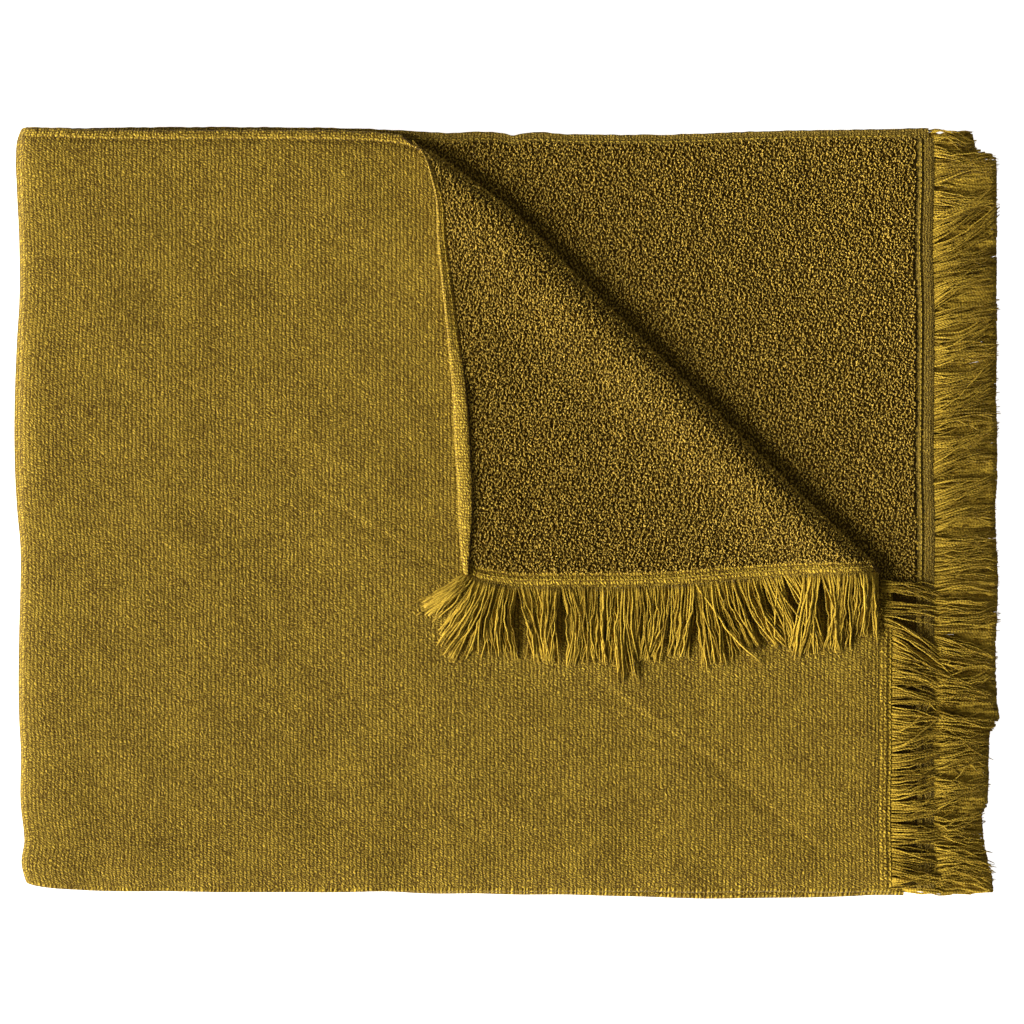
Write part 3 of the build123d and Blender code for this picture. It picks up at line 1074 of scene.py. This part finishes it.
def loop_tubes(name, feet, normals, seed):
    """Cotton loops that lie over in all directions on the ground cloth."""
    finish = bpy.context.scene.throw_finish
    chance = np.random.default_rng(seed)
    count = len(feet)
    heading = chance.normal(math.pi / 2, 0.6, count)
    flat_way = np.stack([np.cos(heading), np.sin(heading), np.zeros(count)], -1)
    way = flat_way - normals * (flat_way * normals).sum(1, keepdims=True)
    way /= np.linalg.norm(way, axis=1, keepdims=True) + 1e-9
    side = np.cross(normals, way)
    s = np.linspace(0, 1, 5)
    length = chance.uniform(1.0, 2.6, count)[:, None]
    height = finish.loop_height / MM * chance.uniform(0.5, 1.4, count)[:, None]
    curl = chance.uniform(-0.5, 0.5, count)[:, None] * np.sin(math.pi * s)
    paths = (
        feet[:, None]
        + way[:, None] * (length * (s - 0.5))[..., None]
        + side[:, None] * curl[..., None]
        + normals[:, None] * (height * np.sin(math.pi * s) - 0.5)[..., None]
    )
    radii = chance.uniform(0.42, 0.72, count)[:, None] * np.array([0.8, 1, 1.1, 1, 0.8])
    flat = np.broadcast_to(chance.uniform(0, 1300, (count, 1, 2)), (count, 5, 2))
    return tubes(name, paths, radii, flat + 0.8 * s[:, None], "looped_face")


def scattered(low_x, high_x, low_y, high_y, pitch, seed):
    """Unevenly strewn points over a rectangle."""
    chance = np.random.default_rng(seed)
    x, y = np.meshgrid(np.arange(low_x, high_x, pitch), np.arange(low_y, high_y, pitch))
    points = np.stack([x.ravel(), y.ravel()], -1)
    return points + chance.uniform(-0.6, 0.6, points.shape) * pitch


def in_parts(count, size=5000):
    """Slices of at most size things each."""
    parts = math.ceil(count / size)
    edges = np.linspace(0, count, parts + 1).astype(int)
    return [slice(a, b) for a, b in zip(edges[:-1], edges[1:])]


def open_loops():
    """The loops of the layer below, where the turned corner leaves it open."""
    layer, pitch = layers["upper_middle"], bpy.context.scene.throw_finish.loop_pitch / MM
    points = scattered(CREASE_START[0], layer.end - 10, CREASE_END[1] - 14, HEM_Y - HEM_WIDTH + 2, pitch, 71)
    points = points[(points[:, 0] < layer.end - 11.2) & (points[:, 1] < HEM_Y - HEM_WIDTH + 1)]
    at = place(layer, points[:, 0], points[:, 1], np.full(len(points), layer.low + CLOTH - 1.1))
    order = np.argsort(crease[:, 1])
    margin = np.interp(at[:, 1], crease[order, 1], crease[order, 0]) - 16
    at = at[at[:, 0] > margin]
    at = at[np.argsort(at[:, 0])]
    up = np.tile([0, 0, 1.0], (len(at), 1))
    pieces = []
    for number, part in enumerate(in_parts(len(at)), 1):
        piece = loop_tubes(f"throw_open_loops_{number}", at[part], up[part], 72 + number)
        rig.ride(piece, layer.body)
        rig.slot(piece, "looped_face")
        pieces.append(piece)
    return pieces


def turned_loops():
    """The loops of the turned corner."""
    pitch = bpy.context.scene.throw_finish.loop_pitch / MM
    chance = np.random.default_rng(81)
    vs, ws = [], []
    for v in np.arange(0.03, BAND_FROM, pitch / 470):
        width = float(turned_width(np.array(v)))
        first = min(float(hem_strip_width(v)) / width, 0.7)
        count = max(int(width * (1 - first) / pitch), 1)
        w = first + (1 - first) * (np.arange(count) + chance.uniform(-0.1, 1.1, count)) / count
        vs.append(v + chance.uniform(-0.6, 0.6, count) * pitch / 420)
        ws.append(np.clip(w, first + 0.8 / width, 1))
    v, w = np.clip(np.concatenate(vs), 0.02, BAND_FROM + 0.006), np.concatenate(ws)
    at = turned_point(v, w, CLOTH - 1.1)
    up = np.tile([0, 0, 1.0], (len(at), 1))
    pieces = []
    for number, part in enumerate(in_parts(len(at)), 1):
        piece = loop_tubes(f"throw_turned_loops_{number}", at[part], up[part], 82 + number)
        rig.ride(piece, "turned_corner")
        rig.slot(piece, "looped_face")
        pieces.append(lies_down(piece))
    return pieces


def crease_loops():
    """The loops on the crease's roll."""
    pitch = bpy.context.scene.throw_finish.loop_pitch / MM
    chance = np.random.default_rng(91)
    v, turn = np.meshgrid(np.arange(0.04, 0.985, pitch / 560), np.radians([-40, -15, 10, 35, 60, 84]))
    v = v + chance.uniform(-0.6, 0.6, v.shape) * pitch / 560
    turn = turn + np.radians(chance.uniform(-12, 12, v.shape))
    centre, normal = crease_frame(v.ravel(), turn.ravel())
    piece = loop_tubes("throw_crease_loops", centre + 0.4 * normal, normal, 92)
    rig.ride(piece, "upper_half")
    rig.slot(piece, "looped_face")
    return lies_down(piece, TURNED_Z - 1, 0.1)


# --- fringes ---


def fringe_paths(root, size, reach, seed, lean, clump, pull, even=0.85, bow=2.0, bend=1.2, steps=12):
    """Loose yarns in loose tufts: how far along the edge, out from it and up each point is."""
    chance = np.random.default_rng(seed)
    count = len(root)
    gaps = chance.uniform(0.55, 1.5, int(reach / clump) + 3) * clump
    heads = np.cumsum(gaps) - clump
    tuft = np.abs(root[:, None] - heads).argmin(1)
    heads, s = heads[tuft], np.linspace(0, 1, steps)
    tuft_lean = chance.normal(0, 0.14 * pull, len(gaps))[tuft]
    tuft_bow = (bow * chance.normal(0, 1, len(gaps)))[tuft]
    slant = lean(root) + tuft_lean + chance.normal(0, 0.02 + 0.05 * pull, count)
    wild = chance.random(count) < 0.09 * pull
    slant = np.where(wild, slant + chance.normal(0, 0.35, count), slant)
    gather = np.where(wild, 0, pull * chance.uniform(0.5, 1.1, count))
    size = size * chance.uniform(even, 1.0, count)
    size = size * (1 + 0.5 * (1 - even) * chance.normal(0, 1, len(gaps))[tuft])
    wave = chance.uniform(0.5, 2.0, count)[:, None] * np.sin(
        math.tau * (s * chance.uniform(0.6, 1.7, count)[:, None] + chance.random(count)[:, None])
    )
    kink = chance.uniform(0, 0.9, count)[:, None]
    kink = kink * np.sin(math.tau * (s * 4.3 + chance.random(count)[:, None]))
    along = root[:, None] + ((heads - root) * gather)[:, None] * s**1.3 + (slant * size)[:, None] * s**bend
    along = along + (wave + kink) * smooth(s * 2.5) + tuft_bow[:, None] * np.sin(math.pi * s)
    return along, size[:, None] * s, s, chance.random(count)


def yarn_piece(name, paths, chance, node, body, thickness, tip=0.45):
    """A fringe's yarns as one piece."""
    finish = bpy.context.scene.throw_finish
    count, steps = paths.shape[:2]
    thick = thickness * finish.yarn_thickness / MM / 2 * chance.uniform(0.7, 1.25, count)
    taper = np.concatenate([np.ones(steps - 2), [0.7 + 0.3 * tip, tip]])
    across = np.broadcast_to(chance.uniform(0, 1300, (count, 1)), (count, steps))
    along = np.linspace(0, FRINGE, steps) + chance.uniform(0, 500, (count, 1))
    flat = np.stack([across, along], -1)
    piece = tubes(name, paths, thick[:, None] * taper, flat, "fringe_yarn")
    return show_for(piece, node, body, "fringe_yarn")


# How each layer's fringe lies: lean is towards the hem side, along its length from the side fold.
fringe_lies = {
    "top": {
        "lean": profile(
            [0, 25, 50, 75, 100, 125, 150, 175, 200, 225, 250, 266],
            [0.02, -0.05, 0.0, 0.15, 0.22, 0.1, -0.02, -0.25, -0.5, -0.6, -0.45, -0.25],
        ),
        "clump": 17, "pull": 0.85, "even": 0.86, "bow": 2.5, "bend": 1.7,
    },
    "upper_middle": {
        "lean": profile(
            [0, 120, 220, 280, 360, 460, 540, 585, 612, 650],
            [-0.05, 0.06, -0.1, 0.12, 0.16, 0.30, 0.42, 0.28, 0.05, 0.06],
        ),
        "clump": 14, "pull": 0.8, "even": 0.93, "bow": 3.5,
    },
    "lower_middle": {
        "lean": profile([0, 300, 650], [0.0, 0.04, 0.04]),
        "clump": 9, "pull": 0.15, "even": 0.9, "bow": 0.6,
    },
    "bottom": {
        "lean": profile([0, 300, 650], [0.0, 0.03, 0.02]),
        "clump": 9, "pull": 0.06, "even": 0.99, "bow": 0.2,
    },
}
# How thick, how crowded and how blunt each layer's yarns are.
fringe_yarns = {
    "top": (1.0, 1, 0.45),
    "upper_middle": (0.9, 1, 0.45),
    "lower_middle": (1.8, 1, 0.45),
    "bottom": (2.3, 1.9, 0.9),
}
# How long the two longest fringes are trimmed, along the end from the side fold.
TRIM_AT = [0, 12, 25, 46, 66, 76, 138, 148, 158, 624, 632, 650]
TRIM_LENGTH = [57.5, 56.5, 53, 49, 47, 52.5, 53.5, 62, 60, 60, 42, 39]
TOP_REACH = 267.0  # how far along the end the top layer's fringe goes


def layer_fringe(layer, density):
    """The fringe at a layer's end, lying on whatever is below it."""
    thickness, crowding, tip = fringe_yarns[layer.name]
    reach = TOP_REACH if layer.name == "top" else top_of_end(layer) - SIDE_Y + HEM_WIDTH - 1
    count = int(reach * density * crowding)
    chance = np.random.default_rng(110 + layer.end_wander)
    root = (np.arange(count) + chance.uniform(-0.4, 1.4, count)) / count * reach
    if layer.name == "top":
        thin = (root > 226) & (root < 256) & (chance.random(count) < 0.6)
        root = root[~thin]
    long_ends = layer.name in ("bottom", "upper_middle")
    size = np.interp(root, TRIM_AT, TRIM_LENGTH) if long_ends else np.full(len(root), FRINGE)
    along, out, s, stack = fringe_paths(root, size, reach, 100 + layer.end_wander, **fringe_lies[layer.name])
    x = layer.end - 1.5 + out * (size[:, None] + 1.5) / size[:, None]
    y = np.clip(SIDE_Y + along, SIDE_Y - 2, HEM_Y + 1)
    count = len(root)
    base = place(layer, np.full(count, layer.end), SIDE_Y + root, np.full(count, layer.low + 0.8))
    rest = layer.low * np.exp(-((s * 1.5) ** 2)) + 0.35 * layer.low * (1 - np.exp(-((s * 1.5) ** 2)))
    hidden = 0.1 if layer.name == "upper_middle" else 0.03
    clear = np.clip((s - hidden) / (0.9 - hidden), 0, 1)
    arch = (1.2 + 3.4 * stack)[:, None] * np.sin(math.pi * clear) ** 0.7
    waver = (0.4 + 0.5 * np.sin(9 * s + 6 * stack[:, None])) * smooth(clear * 6)
    plan = place(layer, x, y, 0.8 + rest + arch + waver)
    plan[..., 2] = np.maximum(plan[..., 2], 1.2)
    plan[:, 0] = np.stack([base[:, 0] - 1.2, base[:, 1], base[:, 2]], -1)
    if layer.name == "top":
        tucked = smooth((root - 224) / 8)[:, None] * (1 - s) ** 2
        plan[..., 0] -= 7 * tucked
        plan[..., 2] += 3 * tucked
    node = f"{layer.name}_fringe"
    return yarn_piece(f"throw_{node}", plan, chance, node, layer.body, thickness, tip)


def turned_fringe(density):
    """The turned corner's fringe, lying on the top layer, with its corner tuft splayed."""
    reach = float(turned_width(np.array(1.0)))
    chance = np.random.default_rng(122)
    count = int(reach * density)
    root = (np.arange(count) + chance.uniform(-0.4, 1.4, count)) / count * reach
    corner_tuft = chance.uniform(0, 7, int(45 * density))
    beside_tuft = chance.uniform(8, 24, int(12 * density))
    root = np.clip(np.concatenate([root, corner_tuft, beside_tuft]), 0, reach)
    lean = profile(
        [0, 5, 9, 15, 25, 34, 90, 200, 235, 265, 290, 361],
        [-1.4, -1.15, -0.7, -0.55, -0.35, -0.1, 0.02, 0.10, 0.45, 0.35, 0.04, 0.02],
    )
    size = (FRINGE + 8) * (0.7 + 0.3 * smooth(root / 28)) / np.hypot(1, lean(root))
    along, out, s, stack = fringe_paths(root, size, reach, 121, clump=16, lean=lean, pull=0.65, bow=2.0)
    along = np.minimum(along, reach - 1.0)
    edge = turned_point(np.ones(len(root)), root / reach, 1.4)
    x = edge[:, None, 0] + (along - root[:, None])
    y = edge[:, None, 1] + 1.5 - out
    ground = TURNED_Z - 0.2 + lift(x, y, 1.0)
    sink = np.exp(-((s * 2.2) ** 2))
    arch = (0.6 + 4.2 * stack)[:, None] * np.sin(math.pi * np.clip(s * 1.05, 0, 1)) ** 0.8
    z = edge[:, None, 2] * sink + (ground + 0.3) * (1 - sink) + arch
    paths = np.stack([x, y, z], -1)
    piece = yarn_piece(
        "throw_turned_corner_fringe", paths, chance, "turned_corner_fringe", "turned_corner", 1.25
    )
    return lies_down(piece)


# --- what a user may change ---


class ThrowFinish(PropertyGroup):
    """Colours and sizes of the throw's yarns."""

    yarn_colour: FloatVectorProperty(
        name="Yarn", description="Colour of the flat woven face where the light falls on it",
        subtype="COLOR", default=(0.485, 0.32, 0.029), min=0, max=1,
    )
    # Painted shade: the gaps between the flat face's yarns take this colour.
    shade_colour: FloatVectorProperty(
        name="Between yarns", description="Colour of the flat woven face between its yarns",
        subtype="COLOR", default=(0.055, 0.026, 0.0005), min=0, max=1,
    )
    loop_colour: FloatVectorProperty(
        name="Loops", description="Colour of the loops",
        subtype="COLOR", default=(0.60, 0.40, 0.059), min=0, max=1,
    )
    # Painted shade: the cloth below the loops takes this colour, and the darker loops take it as well, partly as their
    # own uneven tone.
    loop_shade_colour: FloatVectorProperty(
        name="Between loops", description="Colour of the darker loops and of the cloth below them",
        subtype="COLOR", default=(0.13, 0.073, 0.002), min=0, max=1,
    )
    fringe_colour: FloatVectorProperty(
        name="Fringe", description="Colour of the fringe's yarns",
        subtype="COLOR", default=(0.49, 0.315, 0.029), min=0, max=1,
    )
    fringe_shade_colour: FloatVectorProperty(
        name="Fringe shade", description="Colour of the fringe's darker yarns",
        subtype="COLOR", default=(0.12, 0.068, 0.002), min=0, max=1,
    )
    weave_column: FloatProperty(
        name="Column width", description="Width of one column of the flat weave",
        unit="LENGTH", default=0.00335, min=0.0005,
    )
    weave_row: FloatProperty(
        name="Row height", description="Length of one yarn float of the flat weave",
        unit="LENGTH", default=0.00205, min=0.0005,
    )
    loop_pitch: FloatProperty(
        name="Loop spacing", description="Distance from one loop to the next",
        unit="LENGTH", default=0.0020, min=0.0015,
    )
    loop_height: FloatProperty(
        name="Loop height", description="How far the loops stand off the ground cloth",
        unit="LENGTH", default=0.0019, min=0.0002,
    )
    yarn_thickness: FloatProperty(
        name="Fringe yarn", description="Thickness of one yarn of the fringes",
        unit="LENGTH", default=0.0014, min=0.0003,
    )
    yarns_per_cm: IntProperty(
        name="Yarns per cm", description="Yarns in each centimetre of a fringe", default=11, min=1, max=30,
    )
    sheen: FloatProperty(
        name="Sheen", description="Soft light on the fibres", subtype="FACTOR", default=0.06, min=0, max=1,
    )


class ThrowStage(PropertyGroup):
    """Light and camera."""

    key_strength: FloatProperty(
        name="Key light", description="Strength of the low light on the left", default=12.8, min=0,
    )
    key_side: FloatProperty(
        name="Key direction", description="Where the key light comes from, turned from +X",
        unit="ROTATION", default=math.radians(202),
    )
    key_height: FloatProperty(
        name="Key height", description="Angle of the key light above the floor",
        unit="ROTATION", default=math.radians(16),
    )
    fill_strength: FloatProperty(
        name="Fill light", description="Strength of the light overhead", default=0.1, min=0,
    )
    surroundings: FloatProperty(
        name="Surroundings", description="Brightness of the room", default=0.16, min=0,
    )
    lens: FloatProperty(
        name="Lens", description="Focal length in millimetres", unit="CAMERA", default=100.0, min=20,
    )
    floor_glow: FloatProperty(
        name="Floor glow", description="Light from under the floor, which softens shadows on it",
        default=0.92, min=0,
    )
    floor_colour: FloatVectorProperty(
        name="Floor", description="Colour of the floor",
        subtype="COLOR", default=(0.92, 0.92, 0.92), min=0, max=1,
    )


# --- operators ---


class THROW_OT_layers(Operator):
    """Build the four layers' panels"""

    bl_idname = "throw.layers"
    bl_label = "Layers"

    def execute(self, context):
        for layer in layers.values():
            panel(layer, 3.2 if layer.name == "top" else 9.0)
        return {"FINISHED"}


class THROW_OT_hems(Operator):
    """Build the layers' side hems and their stitching"""

    bl_idname = "throw.hems"
    bl_label = "Side hems"

    def execute(self, context):
        for layer in layers.values():
            side_hem(layer)
            hem_thread(layer)
        return {"FINISHED"}


class THROW_OT_end_bands(Operator):
    """Build the layers' end bands and their stitching"""

    bl_idname = "throw.end_bands"
    bl_label = "End bands"

    def execute(self, context):
        for layer in layers.values():
            end_band(layer)
            end_thread(layer)
        return {"FINISHED"}


class THROW_OT_folds(Operator):
    """Build the lengthwise and crosswise folds"""

    bl_idname = "throw.folds"
    bl_label = "Folds"

    def execute(self, context):
        bottom, lower, upper, top = layers.values()
        side_fold("lower_side_fold", bottom, lower)
        side_fold("upper_side_fold", upper, top)
        cross_fold("outer_cross_fold", bottom, top, 3.0, 9.6)
        cross_fold("inner_cross_fold", lower, upper, 6.2, 6.4)
        double_fold_corner()
        return {"FINISHED"}


class THROW_OT_turned_corner(Operator):
    """Build the turned corner and its crease"""

    bl_idname = "throw.turned_corner"
    bl_label = "Turned corner"

    def execute(self, context):
        turned_panel()
        turned_side_hem()
        turned_end_band()
        turned_threads()
        corner_crease()
        return {"FINISHED"}


class THROW_OT_loops(Operator):
    """Build the cotton loops where the looped face shows"""

    bl_idname = "throw.loops"
    bl_label = "Loops"

    def execute(self, context):
        open_loops()
        turned_loops()
        crease_loops()
        return {"FINISHED"}


class THROW_OT_fringes(Operator):
    """Build the five stretches of fringe"""

    bl_idname = "throw.fringes"
    bl_label = "Fringes"

    def execute(self, context):
        per_mm = context.scene.throw_finish.yarns_per_cm / 10
        for layer in layers.values():
            layer_fringe(layer, per_mm)
        turned_fringe(1.4 * per_mm)
        return {"FINISHED"}


class THROW_OT_sheets(Operator):
    bl_idname = "throw.sheets"
    bl_label = "Cloth sizes"

    def execute(self, context):
        def pieces(*names):
            return [bpy.data.objects[f"throw_{name}"] for name in names]

        edging = ("side_hem", "end_band", "hem_thread", "end_thread", "fringe")
        depth = HEM_Y - SIDE_Y
        corner = abs(CREASE_END[0] - CREASE_START[0]) * abs(CREASE_START[1] - CREASE_END[1]) / 2
        extra = {
            "bottom": ("lower_side_fold",),
            "lower_middle": ("inner_cross_fold", "double_fold_corner"),
            "upper_middle": ("upper_side_fold",),
            "top": ("outer_cross_fold",),
        }
        for layer in layers.values():
            run = layer.end - FOLD_X
            parts = [f"{layer.name}_{part}" for part in edging]
            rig.sheet(
                *pieces(f"{layer.name}_panel"),
                flat=(depth * MM, run * MM),
                held="folded",
                rests_on=[],
                area=(depth * run - corner) * MM**2 if layer.name == "top" else None,
                with_pieces=pieces(*parts, *extra[layer.name]),
            )
        looped = ("throw_turned_loops", "throw_crease_loops")
        loops = [o for o in bpy.data.objects if o.name.startswith(looped)]
        parts = [f"turned_corner_{part}" for part in edging]
        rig.sheet(
            *pieces("turned_corner_panel"),
            flat=((CREASE_START[1] - CREASE_END[1]) * MM, (CREASE_END[0] - CREASE_START[0]) * MM),
            held="folded",
            rests_on=["throw_top_panel"],
            area=corner * MM**2,
            with_pieces=pieces(*parts, "corner_crease") + loops,
        )
        return {"FINISHED"}


FLOOR_SIZE = 80.0  # metres, so that its far edge is out of sight in low views
VIEW_MARGIN = 1.0481  # how much wider the view is than the throw
VIEW_CENTRE = (4.7, -1.3)  # where the camera stands over the throw
KEY_SOFTNESS = math.radians(44)
FILL_SIDE, FILL_HEIGHT, FILL_SOFTNESS = math.radians(60), math.radians(75), math.radians(60)


def far_light(name, side, height, softness, strength):
    """A soft light from far off: side is its direction in plan and height its angle above the floor."""
    data = bpy.data.lights.new(name, "SUN")
    data.angle, data.energy = softness, strength
    lamp = bpy.data.objects.new(name, data)
    level = math.cos(height)
    direction = Vector((math.cos(side) * level, math.sin(side) * level, math.sin(height)))
    lamp.location = 3 * direction
    lamp.rotation_euler = direction.to_track_quat("Z", "Y").to_euler()
    bpy.context.scene.collection.objects.link(lamp)
    return lamp


class THROW_OT_stage(Operator):
    """Set up the floor, the lights and the camera"""

    bl_idname = "throw.stage"
    bl_label = "Stage"

    def execute(self, context):
        stage, scene = context.scene.throw_stage, context.scene
        low, high = (np.array(c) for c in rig.bounds())
        middle = (low + high) / 2
        bpy.ops.mesh.primitive_plane_add(size=FLOOR_SIZE, location=(middle[0], middle[1], -0.0004))
        floor = context.object
        floor.name = "floor"
        paper = bpy.data.materials.new("floor_paper")
        shader = Nodes(paper).finish((*stage.floor_colour, 1.0), None, 0, roughness=0.9, sheen=0.0)
        shader.inputs["Emission Color"].default_value = (1, 1, 1, 1)
        shader.inputs["Emission Strength"].default_value = stage.floor_glow
        floor.data.materials.append(paper)
        key = far_light(
            "key_light", stage.key_side, stage.key_height, KEY_SOFTNESS, stage.key_strength
        )
        fill = far_light(
            "fill_light", FILL_SIDE, FILL_HEIGHT, FILL_SOFTNESS, stage.fill_strength
        )
        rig.stage(floor, key, fill)
        world = bpy.data.worlds.new("studio")
        world.use_nodes = True
        background = world.node_tree.nodes["Background"]
        background.inputs["Color"].default_value = (1, 1, 1, 1)
        background.inputs["Strength"].default_value = stage.surroundings
        scene.world = world
        camera = bpy.data.objects.new("camera", bpy.data.cameras.new("camera"))
        camera.data.lens, camera.data.sensor_width = stage.lens, 36.0
        width = (FRINGE - FOLD_X + layers["bottom"].end) * MM * VIEW_MARGIN
        distance = width * stage.lens / 36.0
        camera.location = (VIEW_CENTRE[0] * MM, VIEW_CENTRE[1] * MM, 0.015 + distance)
        camera.data.clip_start, camera.data.clip_end = 0.05, 50
        scene.collection.objects.link(camera)
        scene.camera = camera
        scene.view_settings.view_transform = "Standard"
        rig.stage(camera)
        return {"FINISHED"}


class THROW_PT_panel(Panel):
    """Shows the throw's settings and the buttons of the steps that build it"""

    bl_label = "Folded throw"
    bl_idname = "THROW_PT_panel"
    bl_space_type = "VIEW_3D"
    bl_region_type = "UI"
    bl_category = "Throw"

    def draw(self, context):
        for group in (context.scene.throw_finish, context.scene.throw_stage):
            for name in group.bl_rna.properties.keys():
                if name not in ("rna_type", "name"):
                    self.layout.prop(group, name)
        for operator in steps:
            self.layout.operator(operator.bl_idname)


steps = (
    THROW_OT_layers,
    THROW_OT_hems,
    THROW_OT_end_bands,
    THROW_OT_folds,
    THROW_OT_turned_corner,
    THROW_OT_loops,
    THROW_OT_fringes,
    THROW_OT_sheets,
    THROW_OT_stage,
)
classes = (ThrowFinish, ThrowStage, *steps, THROW_PT_panel)


def register():
    for item in classes:
        bpy.utils.register_class(item)
    bpy.types.Scene.throw_finish = PointerProperty(type=ThrowFinish)
    bpy.types.Scene.throw_stage = PointerProperty(type=ThrowStage)


def unregister():
    del bpy.types.Scene.throw_stage
    del bpy.types.Scene.throw_finish
    for item in reversed(classes):
        bpy.utils.unregister_class(item)


def main():
    """Builds everything and writes how large the CAD model and the visual one are."""
    for name in ("Cube", "Camera", "Light"):
        if name in bpy.data.objects:
            bpy.data.objects.remove(bpy.data.objects[name])
    register()
    for step in steps:
        group, call = step.bl_idname.split(".")
        getattr(getattr(bpy.ops, group), call)()
    sizes = {"cad": [list(c) for c in cad_bounds], "visual": [list(c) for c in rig.bounds()]}
    with open("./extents.json", "w") as file:
        json.dump(sizes, file, indent=1)


if __name__ == "__main__":
    main()
